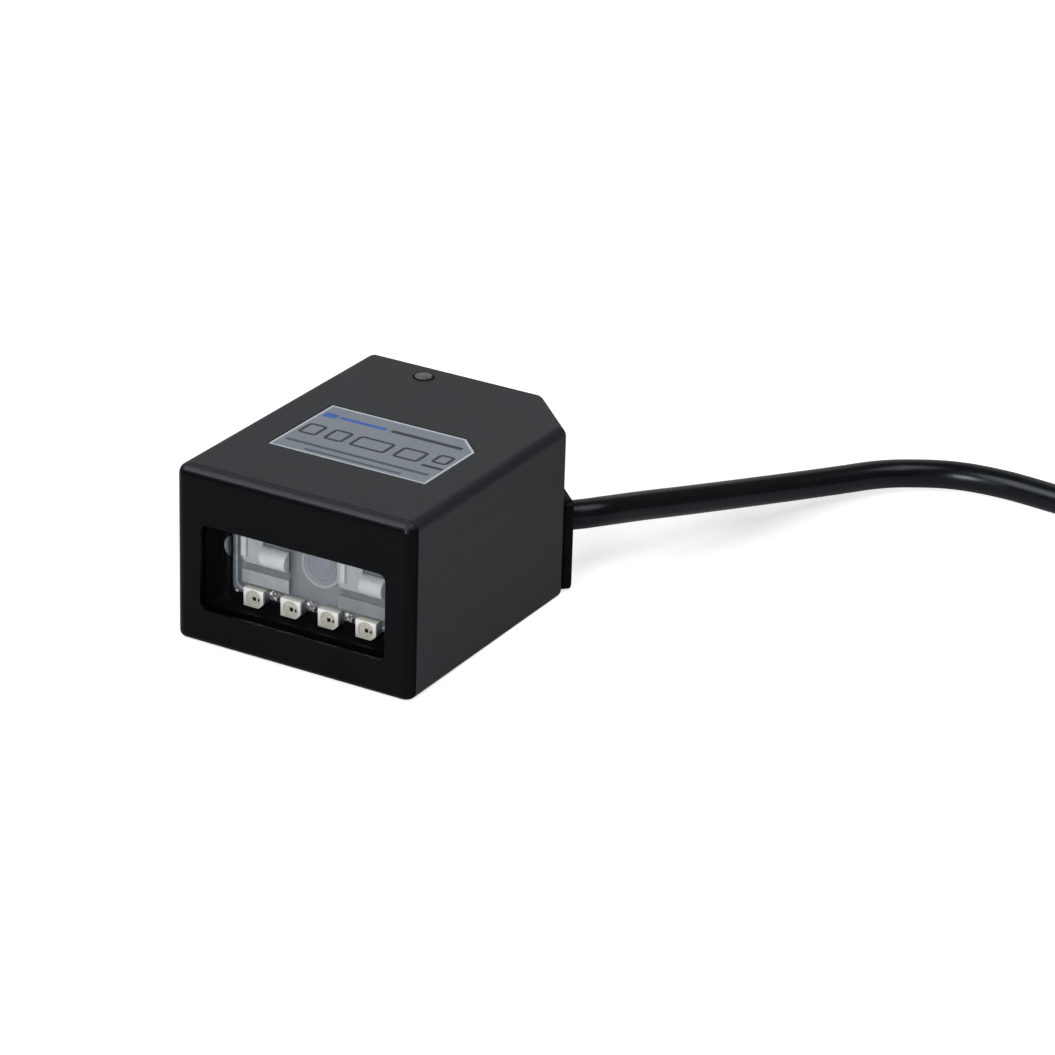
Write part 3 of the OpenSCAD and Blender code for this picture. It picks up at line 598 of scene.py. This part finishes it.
# indicator: a smoked dome standing in a black collar, whose black is painted shade for the gap
# round the dome
domeSettings = {
    "at": (-7.7, 21.6), "low": 26.9, "seat": 27.5, "collar": 1.62, "wall": 0.3, "sink": 0.06,
    "radius": 1.38, "rise": 0.27, "sides": (40, 24),
}


def addCollar(s):
    x, y = s["at"]
    collar = addRound((x, y, (s["low"] + s["seat"]) / 2), s["collar"], s["seat"] - s["low"])
    stepFace(collar, facing("z", 1), s["wall"], (0, 0, -s["sink"]))
    return collar


def addDome(s):
    radii = (s["radius"], s["radius"], s["rise"])
    return addCap((*s["at"], s["seat"]), radii, (0, 0, 1), s["sides"], inner=True)


# the black collar is painted shade in the gap round the dome
finishPiece(addCollar(domeSettings), "indicatorCollarPaintedShade", sealFoamAndShade, ["indicator_lens"])
finishPiece(addDome(domeSettings), "indicatorDome", lampPlastic, smooth=60)


# label: pale rim, and plain printed fields and frames on the foil
labelSettings = {
    "low": (-13.1, -12.5), "high": (13.5, 4.7), "top": 27.3, "cut": 3.5, "rim": 0.38,
    "ink": 0.02, "sink": 0.005, "line": 0.5,
    "blue": [(-12.3, 0.5, -10.1, 2.0), (-9.6, 0.9, -1.6, 1.7)],
    "dark": [(-0.7, 0.85, 11.4, 1.7), (9.4, -7.1, 12.9, -6.4)],
    "grey": [(-12.0, -9.8, 12.2, -9.1), (-7.7, -11.5, 8.7, -11.0)],
    "frames": [(-12.2, -6.5, -9.0, -2.6), (-7.8, -6.5, -4.5, -2.6), (-3.4, -6.5, 2.7, -2.6),
               (4.0, -6.5, 8.4, -2.6), (9.8, -5.2, 12.5, -2.0)],
    "corners": {"blue": 0.25, "dark": 0.15, "grey": 0.1, "frames": 0.7},
}


def addLabelRim(s):
    (x0, y0), (x1, y1) = s["low"], s["high"]
    clearSelection()
    middle = ((x0 + x1) / 2, (y0 + y1) / 2, s["top"])
    bpy.ops.mesh.primitive_plane_add(size=1, location=metres(middle))
    rim = bpy.context.object
    rim.scale = ((x1 - x0) * mm, (y1 - y0) * mm, 1)
    settle()
    startPick(rim, "VERT")
    for v in rim.data.vertices:
        v.select = v.co.x > (x1 - near) * mm and v.co.y > (y1 - near) * mm
    enterEdit(rim)
    bpy.ops.mesh.bevel(offset=s["cut"] * mm, segments=1, affect="VERTICES")
    leaveEdit()
    pickFaces(rim, facing("z"))
    bpy.ops.mesh.inset(thickness=s["rim"] * mm)
    bpy.ops.mesh.delete(type="FACE")
    bpy.ops.mesh.select_all(action="SELECT")
    bpy.ops.mesh.extrude_region_move(TRANSFORM_OT_translate={"value": (0, 0, s["ink"] * mm)})
    bpy.ops.mesh.select_all(action="SELECT")
    bpy.ops.mesh.normals_make_consistent(inside=False)
    leaveEdit()
    return rim


def addFields(s, kind, line=None):  # with a line width, the fields are open frames
    fields = []
    for x0, y0, x1, y1 in s[kind]:
        field = addBlock((x0, y0, s["top"] - s["sink"]), (x1, y1, s["top"] + s["ink"]))
        roundEdges(field, running("z"), s["corners"][kind], segments=4)
        if line:
            openUp(field, "z", line)
        fields.append(field)
    return joinPieces(fields)


finishPiece(addLabelRim(labelSettings), "labelRim", labelRimFoil)
for kind, ink in (("Blue", printBlue), ("Dark", printDark), ("Grey", printGrey)):
    fields = addFields(labelSettings, kind.lower())
    finishPiece(fields, "label" + kind + "Fields", ink)
finishPiece(addFields(labelSettings, "frames", labelSettings["line"]), "labelFrames", printDark)
print("label printed")


# the light row behind the window, from the sizes in the part's source
rowSettings = {
    "pitch": 6.4, "count": 4, "front": -21.6, "back": -20.1, "low": 5.5, "wide": 3.4, "tall": 2.8,
}
resinSettings = {"radius": 1.265, "deep": 0.5, "sink": 0.1, "sides": 40, "crown": 3,
                 "crownWide": 0.22, "crownRise": 0.04}
dieSettings = {"chips": [(0.18, 0.02, 0.64, 0.64), (0.88, -0.06, 0.26, 0.468)], "proud": 0.03,
               "deep": 0.3, "edge": 0.04}
tabSettings = {"thick": 0.12, "deep": 1.3, "lows": {-1: 0.3, 1: 0.85}, "top": 2.75,
               "panel": 0.18, "sink": 0.05, "edge": 0.03}


def rowX(row, i):
    return (i - (row["count"] + 1) / 2) * row["pitch"]


def addResin(s, row, i):
    x, z = rowX(row, i), row["low"] + row["tall"] / 2
    y = row["front"] + (s["sink"] + s["deep"]) / 2
    resin = addRound((x, y, z), s["radius"], s["deep"] - s["sink"], alongY, s["sides"])
    for step in range(s["crown"]):  # the resin stands up a little towards the middle
        stepFace(resin, facing("y", -1), s["crownWide"], (0, -s["crownRise"], 0))
    return resin


def addDie(s, row, i):
    x, z = rowX(row, i), row["low"] + row["tall"] / 2
    face = row["front"] - s["proud"]
    chips = []
    for dx, dz, wide, tall in s["chips"]:
        chip = addBlock((x + dx - wide / 2, face, z + dz - tall / 2),
                        (x + dx + wide / 2, face + s["deep"], z + dz + tall / 2))
        soften(chip, s["edge"], segments=2)
        chips.append(chip)
    return joinPieces(chips)


def addTabs(s, row, i):
    tabs = []
    for side, low in s["lows"].items():
        wall = rowX(row, i) + side * row["wide"] / 2
        skin = wall + side * s["thick"]
        tab = addBlock((min(wall, skin), row["back"] - s["deep"], row["low"] + low),
                       (max(wall, skin), row["back"], row["low"] + s["top"]))
        stepFace(tab, facing("x", side), s["panel"], (-side * s["sink"], 0, 0))
        soften(tab, s["edge"], segments=2)
        tabs.append(tab)
    return joinPieces(tabs)


for i in range(1, rowSettings["count"] + 1):
    finishPiece(addResin(resinSettings, rowSettings, i), "ledResin" + str(i), siliconeResin,
                smooth=60)
    finishPiece(addDie(dieSettings, rowSettings, i), "ledDie" + str(i), dieChip)
    finishPiece(addTabs(tabSettings, rowSettings, i), "ledTabs" + str(i), tinTab)
print("packages detailed")


# solder dots and small chips on the board between the packages
solderSettings = {
    "back": -20.1, "low": 6.5,
    "dots": [(-0.95, 1.15, 0.42), (-0.55, 0.62, 0.24), (-0.75, 1.6, 0.2), (-0.3, 1.35, 0.2),
             (0.15, 1.45, 0.17), (0.7, 1.3, 0.18), (-0.05, 0.95, 0.16), (0.25, 0.45, 0.2),
             (0.62, 0.8, 0.17), (0.95, 0.4, 0.15), (1.2, 0.62, 0.18), (-1.35, 0.75, 0.17),
             (0.5, 0.2, 0.14)],
    "flat": (1, 0.7, 0.9), "dotSides": (16, 10), "wobble": (0.12, 5.1, 2.3),
    "lone": (-13.4, 0.2, 0.3),
    "chip": (1.0, 0.35, 0.5), "chipAt": (0.35, 0.62), "chipSlim": 0.94, "chipLap": 0.02,
    "chipEdge": 0.03, "ends": 0.24, "endEdge": 0.05,
}


def gapMiddles(row):
    return [(rowX(row, i) + rowX(row, i + 1)) / 2 for i in range(1, row["count"])]


def addDot(s, x, dz, radius):
    radii = [radius * share for share in s["flat"]]
    return addCap((x, s["back"], s["low"] + dz), radii, (0, 1, 0), s["dotSides"])


def addSolder(s, row):
    dots = []
    wide, deep, tall = s["chip"]
    reach, perGap, perDot = s["wobble"]
    for i, middle in enumerate(gapMiddles(row), 1):
        for k, (dx, dz, radius) in enumerate(s["dots"]):
            stray = reach * math.sin(perGap * i + perDot * k)  # keeps the gaps from looking alike
            dots.append(addDot(s, middle + dx + stray, dz, radius))
        cx, cz = middle + s["chipAt"][0], s["low"] + s["chipAt"][1]
        for side in (-1, 1):
            outer = cx + side * wide / 2
            inner = outer - side * s["ends"]
            end = addBlock((min(outer, inner), s["back"] - deep, cz - tall / 2),
                           (max(outer, inner), s["back"], cz + tall / 2))
            soften(end, s["endEdge"], segments=2)
            dots.append(end)
    dots.append(addDot(s, *s["lone"]))
    return joinPieces(dots)


def addChips(s, row):
    chips = []
    wide, deep, tall = s["chip"]
    half = wide / 2 - s["ends"] + s["chipLap"]
    rise = tall * s["chipSlim"] / 2
    for middle in gapMiddles(row):
        cx, cz = middle + s["chipAt"][0], s["low"] + s["chipAt"][1]
        chip = addBlock((cx - half, s["back"] - deep * s["chipSlim"], cz - rise),
                        (cx + half, s["back"], cz + rise))
        soften(chip, s["chipEdge"], segments=2)
        chips.append(chip)
    return joinPieces(chips)


finishPiece(addSolder(solderSettings, rowSettings), "solderRow", tinSolder,
            ["led_parts"], smooth=70)
finishPiece(addChips(solderSettings, rowSettings), "smallChips", chipEpoxy)


# hazed plate over the board, with raised lips and a lug at each end
plateSettings = {
    "half": 14.3, "low": 6.5, "high": 19.0, "front": -20.1, "back": -19.3, "corner": 1.0,
    "round": 0.32,
}
lipSettings = {"inset": 0.8, "low": 0.7, "wide": 0.36, "rise": 0.32, "radius": 1.3, "endX": 11.6,
               "edge": 0.1}
earSettings = {"at": (13.35, 13.8), "radius": 1.83, "front": -20.88, "back": -20.4, "cutX": 13.98,
               "edge": 0.1}


def addPlate(s):
    plate = addBlock((-s["half"], s["front"], s["low"]), (s["half"], s["back"], s["high"]))
    roundEdges(plate, running("y"), s["corner"], segments=8)
    soften(plate, s["round"], segments=4, angle=50)
    return plate


def addLips(s, plate):
    half = plate["half"] - s["inset"]
    lips = []
    for side in (-1, 1):
        lip = addBlock((-half, plate["front"] - s["rise"], plate["low"] + s["low"]),
                       (half, plate["front"] + bite, plate["high"] - s["inset"]))
        roundEdges(lip, running("y"), s["radius"], segments=8)
        openUp(lip, "y", s["wide"])
        trim(lip, (side * s["endX"], 0, 0), (-side, 0, 0))
        soften(lip, s["edge"])
        lips.append(lip)
    return joinPieces(lips)


def addEars(s):
    x, z = s["at"]
    ears = []
    for side in (-1, 1):
        ear = addRound((side * x, (s["front"] + s["back"]) / 2, z), s["radius"],
                       s["back"] - s["front"], alongY)
        trim(ear, (side * s["cutX"], 0, 0), (-side, 0, 0))
        soften(ear, s["edge"])
        ears.append(ear)
    return joinPieces(ears)


finishPiece(addPlate(plateSettings), "frostedPlate", platePc, ["led_board"],
            smooth=50)
finishPiece(addLips(lipSettings, plateSettings), "plateLips", lipPc, smooth=60)
finishPiece(addEars(earSettings), "plateEars", earPcPaintedHighlight, smooth=50)


# lens barrel behind the plate: pale rim, stepped face and the domed front lens
lensSettings = {
    "z": 13.3, "front": -18.3, "long": 7.0, "radius": 2.98, "sides": 64,
    "steps": [(0.45, 0), (0.05, -0.14), (0.22, 0), (0.05, 0.2), (0.4, 0)],
    "ring": (3.4, 2.96), "proud": 0.3, "ringEdge": 0.12,
    "lens": 1.78, "dome": 0.45, "sink": 0.12, "lensSides": (48, 32),
}


def addBarrel(s):
    barrel = addRound((0, s["front"] + s["long"] / 2, s["z"]), s["radius"], s["long"], alongY,
                      s["sides"])
    pickFaces(barrel, facing("y", -1))
    for width, shift in s["steps"]:
        bpy.ops.mesh.inset(thickness=width * mm)
        bpy.ops.transform.translate(value=(0, shift * mm, 0))
    leaveEdit()
    return barrel


def addBarrelRing(s):
    outer, inner = s["ring"]
    ring = addRound((0, s["front"], s["z"]), outer, 2 * s["proud"], alongY, s["sides"])
    openUp(ring, "y", outer - inner)
    soften(ring, s["ringEdge"])
    return ring


def addFrontLens(s):
    return addCap((0, s["front"] + s["sink"], s["z"]), (s["lens"], s["dome"], s["lens"]),
                  (0, 1, 0), s["lensSides"])


finishPiece(addBarrel(lensSettings), "steppedBarrel", barrelPc, ["lens_barrel"],
            smooth=50)
finishPiece(addBarrelRing(lensSettings), "barrelRing", lensPc, smooth=50)
finishPiece(addFrontLens(lensSettings), "frontLens", coatedGlass, ["objective_lens"],
            smooth=60)


# lens bars: a base, a step and a pad, an upright strip and the half-round lens
blockSettings = {
    "starts": (-12.25, 4.15), "wide": 8.1, "low": 8.6, "high": 16.2, "back": -20.1,
    "base": 0.3, "baseEdge": 0.08, "step": (0.5, 2.1), "stepEdge": 0.12,
    "pads": (3.7, 4.3), "padThick": 0.7, "padCorner": 1.1, "padEdge": 0.08,
    "stripAt": (0.25, 0.75), "strip": (0.9, 1.3), "stripEdge": 0.14,
    "lensRadius": 1.6, "lensZ": 13.6, "lensSides": 64, "lensEdge": 0.16,
}
# the right bar's step takes the darker copy, which is painted shade
blockTones = {"lensBase": (platePc, platePc), "lensStep": (stepPc, stepPcPaintedShade),
              "lensPad": (padPc, padPc)}


def addLensBlock(s, i):
    x0, back = s["starts"][i], s["back"]
    right = x0 + s["wide"]
    base = addBlock((x0, back - s["base"], s["low"]), (right, back, s["high"]))
    soften(base, s["baseEdge"], segments=2)
    deep, tall = s["step"]
    step = addBlock((x0, back - deep, s["low"]), (right, back - bite, s["low"] + tall))
    soften(step, s["stepEdge"])
    padLow = s["lensZ"] - s["lensRadius"]
    pad = addBlock((x0, back - s["padThick"], padLow), (x0 + s["pads"][i], back - bite, s["high"]))
    roundEdges(pad, lambda a, b: running("y")(a, b) and a.x < (x0 + near) * mm
               and a.z < (padLow + near) * mm, s["padCorner"], segments=8)
    soften(pad, s["padEdge"], segments=2)
    return {"lensBase": base, "lensStep": step, "lensPad": pad}


def addStrip(s, i):
    x0 = s["starts"][i] + s["stripAt"][i]
    wide, deep = s["strip"]
    low = s["lensZ"] - s["lensRadius"] + s["padCorner"]
    strip = addBlock((x0, s["back"] - deep, low), (x0 + wide, s["back"] - bite, s["high"]))
    soften(strip, s["stripEdge"])
    return strip


def addBarLens(s, i):
    left, right = s["starts"][i] + s["pads"][i], s["starts"][i] + s["wide"]
    axis = s["back"] - s["base"]
    lens = addRound(((left + right) / 2, axis, s["lensZ"]), s["lensRadius"], right - left, alongX,
                    s["lensSides"])
    trim(lens, (0, axis + bite, 0), (0, 1, 0))
    soften(lens, s["lensEdge"], angle=60)
    return lens


for i in range(len(blockSettings["starts"])):
    number = str(i + 1)
    for part, obj in addLensBlock(blockSettings, i).items():
        stands = ["side_lens_" + number] if part == "lensBase" else ()
        finishPiece(obj, part + number, blockTones[part][i], stands, smooth=50)
    finishPiece(addStrip(blockSettings, i), "lensStrip" + number, lensPc, smooth=50)
    finishPiece(addBarLens(blockSettings, i), "barLens" + number, lensPc, smooth=50)
print("light row detailed")


# countersunk base screws with a cross recess
screwSettings = {
    "at": [(-16, -7.9, 12), (16, -7.9, 47), (-16, 22.3, 71), (16, 10.8, 30)],
    "face": 0.15, "headRadius": 1.6, "rim": 0.12, "neck": 1.3, "radius": 0.95, "end": 7.0,
    "sides": 40, "recess": (1.9, 0.42, 0.7), "clear": 0.1, "edge": 0.04,
}


def addScrews(s):
    brim = s["face"] + s["rim"]
    screw = addRound((0, 0, s["face"] + s["rim"] / 2), s["headRadius"], s["rim"], sides=s["sides"])
    shrink = s["radius"] / s["headRadius"]
    pickFaces(screw, facing("z", 1))
    bpy.ops.mesh.extrude_region_move(
        TRANSFORM_OT_translate={"value": (0, 0, (s["neck"] - brim) * mm)})
    bpy.ops.transform.resize(value=(shrink, shrink, 1), center_override=(0, 0, s["neck"] * mm))
    bpy.ops.mesh.extrude_region_move(
        TRANSFORM_OT_translate={"value": (0, 0, (s["end"] - s["neck"]) * mm)})
    leaveEdit()
    long, wide, deep = s["recess"]
    for a, b in ((long, wide), (wide, long)):
        arm = addBlock((-a / 2, -b / 2, s["face"] - s["clear"]), (a / 2, b / 2, s["face"] + deep))
        cut = screw.modifiers.new("recess", "BOOLEAN")
        cut.operation = "DIFFERENCE"
        cut.object = arm
        bpy.context.view_layer.objects.active = screw
        bpy.ops.object.modifier_apply(modifier="recess")
        bpy.data.objects.remove(arm, do_unlink=True)
    soften(screw, s["edge"], segments=2)
    copies = []
    for x, y, turn in s["at"]:
        copy = screw.copy()
        copy.data = screw.data.copy()
        scene.collection.objects.link(copy)
        copy.location = metres((x, y, 0))
        copy.rotation_euler = (0, 0, math.radians(turn))
        setActive(copy)
        settle()
        copies.append(copy)
    bpy.data.objects.remove(screw, do_unlink=True)
    return joinPieces(copies)


# brass inserts with a real thread in the bore
insertSettings = {
    "at": [(-12, 4), (12, 4)], "radius": 2.1, "long": 4.5, "groove": 1.5, "chamfer": 0.2,
    "ridge": 0.24, "pitch": 0.5, "turns": 8, "start": 0.25, "perTurn": 28,
}


def addInsert(s, i):
    x, y = s["at"][i]
    bush = addRound((x, y, s["long"] / 2), s["radius"], s["long"])
    openUp(bush, "z", s["radius"] - s["groove"])
    soften(bush, s["chamfer"], segments=1)
    clearSelection()
    bpy.ops.mesh.primitive_circle_add(
        vertices=3, radius=s["ridge"] * mm, location=(s["groove"] * mm, 0, s["start"] * mm),
        rotation=(math.radians(90), math.radians(-90), 0))
    settle()
    ridge = bpy.context.object
    thread = ridge.modifiers.new("thread", "SCREW")
    thread.axis = "Z"
    thread.angle = math.tau
    thread.screw_offset = s["pitch"] * mm
    thread.iterations = s["turns"]
    thread.steps = thread.render_steps = s["perTurn"]
    bpy.ops.object.modifier_apply(modifier="thread")
    pickFaces(ridge, lambda face: True)
    bpy.ops.transform.translate(value=(x * mm, y * mm, 0))
    bpy.ops.mesh.normals_make_consistent(inside=False)
    leaveEdit()
    return joinPieces([bush, ridge])


finishPiece(addScrews(screwSettings), "crossScrews", zincSteel, ["base_screws"])
for i in range(len(insertSettings["at"])):
    number = str(i + 1)
    finishPiece(addInsert(insertSettings, i), "threadedInsert" + number, turnedBrass,
                ["mount_insert_" + number])
print("base detailed")


# moulded flange that holds the lead in the bevelled corner, made square on and then turned
flangeSettings = {
    "turn": 45, "seat": 26.02, "middle": 4.455, "gap": 0.25, "thick": 1.6, "wide": 11.0,
    "top": 14.6, "corner": 1.5, "edge": 0.22,
    "neck": (-1.95, 0.3), "neckWide": 7.6, "neckZ": (2.15, 13.9), "neckEdge": 0.05,
    "exitZ": 10.1, "collar": (2.85, 2.3), "collarLong": 0.8, "collarEdge": 0.12,
}


def addFlange(s):
    seat, v = s["seat"], s["middle"]
    low, high = seat + s["gap"], seat + s["gap"] + s["thick"]
    plate = addBlock((low, v - s["wide"] / 2, 0), (high, v + s["wide"] / 2, s["top"]))
    roundEdges(plate, running("x"), s["corner"], segments=6)
    soften(plate, s["edge"])
    neck = addBlock((seat + s["neck"][0], v - s["neckWide"] / 2, s["neckZ"][0]),
                    (seat + s["neck"][1], v + s["neckWide"] / 2, s["neckZ"][1]))
    soften(neck, s["neckEdge"], segments=1)
    wide, slim = s["collar"]
    collar = addRound((high + s["collarLong"] / 2, v, s["exitZ"]), wide, s["collarLong"], alongX)
    pickFaces(collar, facing("x", 1))
    bpy.ops.transform.resize(value=(1, slim / wide, slim / wide),
                             center_override=(0, v * mm, s["exitZ"] * mm))
    leaveEdit()
    soften(collar, s["collarEdge"])
    flange = joinPieces([plate, neck, collar])
    flange.rotation_euler = (0, 0, math.radians(s["turn"]))
    settle()
    return flange


# strap round the coil, its free end pressed down on top
tieSettings = {
    "middle": (127, 45), "turn": 60, "wide": 7.0, "inner": 13.0, "outer": 37.35, "top": 10.2,
    "thick": 0.55, "corner": 2.2, "flap": (21.5, 35.4), "flapThick": 0.5, "flapCorner": 1.8,
    "edge": 0.15,
}


def addTie(s):  # made on the X axis, then turned to its place on the coil
    half = s["wide"] / 2
    loop = addBlock((s["inner"], -half, 0), (s["outer"], half, s["top"]))
    roundEdges(loop, running("y"), s["corner"], segments=6)
    openUp(loop, "y", s["thick"])
    soften(loop, s["edge"], segments=2, angle=60)
    start, end = s["flap"]
    flap = addBlock((start, s["edge"] - half, s["top"] - bite),
                    (end, half - s["edge"], s["top"] + s["flapThick"]))
    roundEdges(flap, lambda a, b: running("z")(a, b) and a.x < (start + near) * mm,
               s["flapCorner"], segments=6)
    soften(flap, s["edge"], segments=2, angle=60)
    strap = joinPieces([loop, flap])
    strap.rotation_euler = (0, 0, math.radians(s["turn"]))
    strap.location = metres((*s["middle"], 0))
    settle()
    return strap


# moulded plug with grip ribs in a shallow panel and a ringed neck
plugSettings = {
    "x": 161.5, "axis": 4.0, "back": 8.0, "front": -12.0, "wide": 15.5, "tall": 8.0,
    "corner": 2.0, "round": 0.6, "rim": 1.1, "slope": 0.15, "deep": 0.4,
    "ribs": 7, "ribsFrom": -8.0, "pitch": 2.0, "rib": (7.4, 0.9), "ribEdge": 0.18,
    "core": 2.42, "coreEdge": 0.15, "neckEnd": 14.0, "neckSides": 40,
    "rings": [(8.5, 3.4), (9.9, 3.15), (11.3, 2.9), (12.7, 2.65)], "ringLong": 0.95,
    "ringEdge": 0.25,
}
contactSettings = {
    "strips": [(-3.5, 8.6), (-1.0, 7.6), (1.0, 7.6), (3.5, 8.6)], "wide": 1.0, "back": -14.2,
    "tongueLow": 4.05, "thick": 0.08, "lap": 0.02, "edge": 0.03,
}


def addPlugBody(s):
    x, half = s["x"], s["wide"] / 2
    body = addBlock((x - half, s["front"], 0), (x + half, s["back"], s["tall"]))
    roundEdges(body, running("y"), s["corner"], segments=6)
    soften(body, s["round"], segments=4, angle=40)
    pieces = [body]
    wide, long = s["rib"]
    root = s["deep"] + bite
    for side, low, high in ((-1, 0, root), (1, s["tall"] - root, s["tall"])):
        pickFaces(body, facing("z", side))
        bpy.ops.mesh.inset(thickness=s["rim"] * mm)
        bpy.ops.mesh.inset(thickness=s["slope"] * mm)
        bpy.ops.transform.translate(value=(0, 0, -side * s["deep"] * mm))
        leaveEdit()
        for k in range(s["ribs"]):
            y = s["ribsFrom"] + k * s["pitch"]
            rib = addBlock((x - wide / 2, y - long / 2, low), (x + wide / 2, y + long / 2, high))
            soften(rib, s["ribEdge"])
            pieces.append(rib)
    core = addRound((x, (s["back"] + s["neckEnd"]) / 2, s["axis"]), s["core"],
                    s["neckEnd"] - s["back"], alongY, s["neckSides"])
    soften(core, s["coreEdge"], segments=2)
    pieces.append(core)
    for y, radius in s["rings"]:
        ring = addRound((x, y, s["axis"]), radius, s["ringLong"], alongY, s["neckSides"])
        soften(ring, s["ringEdge"])
        pieces.append(ring)
    return joinPieces(pieces)


def addContacts(s, middle):
    strips = []
    for dx, long in s["strips"]:
        x = middle + dx
        strip = addBlock((x - s["wide"] / 2, s["back"] - long, s["tongueLow"] - s["thick"]),
                         (x + s["wide"] / 2, s["back"], s["tongueLow"] + s["lap"]))
        soften(strip, s["edge"], segments=2)
        strips.append(strip)
    return joinPieces(strips)


reliefFlange = finishPiece(addFlange(flangeSettings), "reliefFlange", reliefPvc,
                           ["cable_flange"])
coilStrap = finishPiece(addTie(tieSettings), "coilStrap", tieWeave, ["coil_tie"])
plugBody = finishPiece(addPlugBody(plugSettings), "plugBody", reliefPvc,
                       ["plug_grip"])
plugContacts = finishPiece(addContacts(contactSettings, plugSettings["x"]), "plugContacts",
                           contactGold)
print("plug and strap on the cable")


# plain white studio
studioSettings = {
    "floorSize": 6,
    "floorColour": "#d6d6d6",
    "bounceColour": "#c4c4c6",
    # where and how strongly the floor's glow paints light over the part's shadow
    "liftMiddle": (0.030, 0.057, 0.0),
    "liftStops": [(0.0, 0.42), (0.03, 0.72), (0.055, 0.84), (0.09, 0.58), (0.16, 0.58),
                  (0.32, 1.0)],
    "worldGlow": 0.1,
    "mirrorShare": 0.08,
    "lamps": [
        {"name": "keySoftbox", "at": (-0.55, -0.60, 0.90), "size": 0.7, "power": 7.0},
        {"name": "frontSoftbox", "at": (0.12, -1.00, 0.34), "size": 0.4, "power": 8.35},
        {"name": "sideSoftbox", "at": (0.55, 0.10, 1.00), "size": 0.6, "power": 3.2},
        {"name": "backSoftbox", "at": (-0.75, 1.05, 0.70), "size": 1.3, "power": 1.9},
    ],
    "aim": (0.0, 0.0, 0.012),
}


def backdropRays(tree, share):  # 1 for the camera and through glass, a share in reflections
    path = addNode(tree, "LightPath")
    mirror = addNode(tree, "Math", {1: share}, {0: path.outputs["Is Glossy Ray"]},
                     operation="MULTIPLY")
    clear = addNode(tree, "Math",
                    links={0: path.outputs["Is Camera Ray"],
                           1: path.outputs["Is Transmission Ray"]},
                    operation="MAXIMUM")
    return addNode(tree, "Math", links={0: clear, 1: mirror}, operation="MAXIMUM")


def addFloor(s):
    # white paper that keeps the part's shadow, under a glow for the camera that is painted light:
    # it washes the shadow out least at the lead's root, most about 5 cm from it, less from 9 to 16
    # cm and fully beyond 32 cm
    clearSelection()
    bpy.ops.mesh.primitive_plane_add(size=s["floorSize"], location=(0, 0, 0))
    floor = bpy.context.object
    floor.name = "studioFloor"
    mat, tree, place = startMaterial("whitePaperSweep")
    rays = backdropRays(tree, s["mirrorShare"])
    far = addNode(tree, "VectorMath", {1: s["liftMiddle"]}, {0: place}, operation="DISTANCE")
    reach = s["liftStops"][-1][0]
    away = addNode(tree, "MapRange", {"From Max": reach}, {"Value": far.outputs["Value"]})
    white = addNode(tree, "ValToRGB", links={"Fac": away},
                    stops=[(d / reach, (v, v, v, 1)) for d, v in s["liftStops"]])
    lift = addNode(tree, "Math", links={0: rays, 1: white}, operation="MULTIPLY")
    glow = addNode(tree, "Emission", {"Color": (1, 1, 1, 1)}, {"Strength": lift})
    shade = addNode(tree, "Mix",
                    {6: linear(s["bounceColour"]), 7: linear(s["floorColour"])}, {0: rays},
                    data_type="RGBA")
    paper = addNode(tree, "BsdfDiffuse", links={"Color": shade.outputs[2]})
    both = addNode(tree, "AddShader", links={0: paper, 1: glow})
    addNode(tree, "OutputMaterial", links={"Surface": both})
    dress(floor, mat)


def addWorld(s):
    world = bpy.data.worlds.new("whiteStudio")
    scene.world = world
    world.use_nodes = True
    tree = world.node_tree
    tree.nodes.clear()
    rays = backdropRays(tree, s["mirrorShare"])
    level = addNode(tree, "MapRange", {"To Min": s["worldGlow"], "To Max": 1.0}, {"Value": rays})
    sky = addNode(tree, "Background", {"Color": (1, 1, 1, 1)}, {"Strength": level})
    addNode(tree, "OutputWorld", links={"Surface": sky})


def addLamps(s):
    for lamp in s["lamps"]:
        data = bpy.data.lights.new(lamp["name"], "AREA")
        data.shape = "SQUARE"
        data.size = lamp["size"]
        data.energy = lamp["power"]
        obj = bpy.data.objects.new(lamp["name"], data)
        scene.collection.objects.link(obj)
        obj.location = lamp["at"]
        look = Vector(s["aim"]) - Vector(lamp["at"])
        obj.rotation_euler = look.to_track_quat("-Z", "Y").to_euler()


addFloor(studioSettings)
addWorld(studioSettings)
addLamps(studioSettings)
scene.view_settings.view_transform = "Standard"
print("studio lit")

bpy.context.view_layer.update()
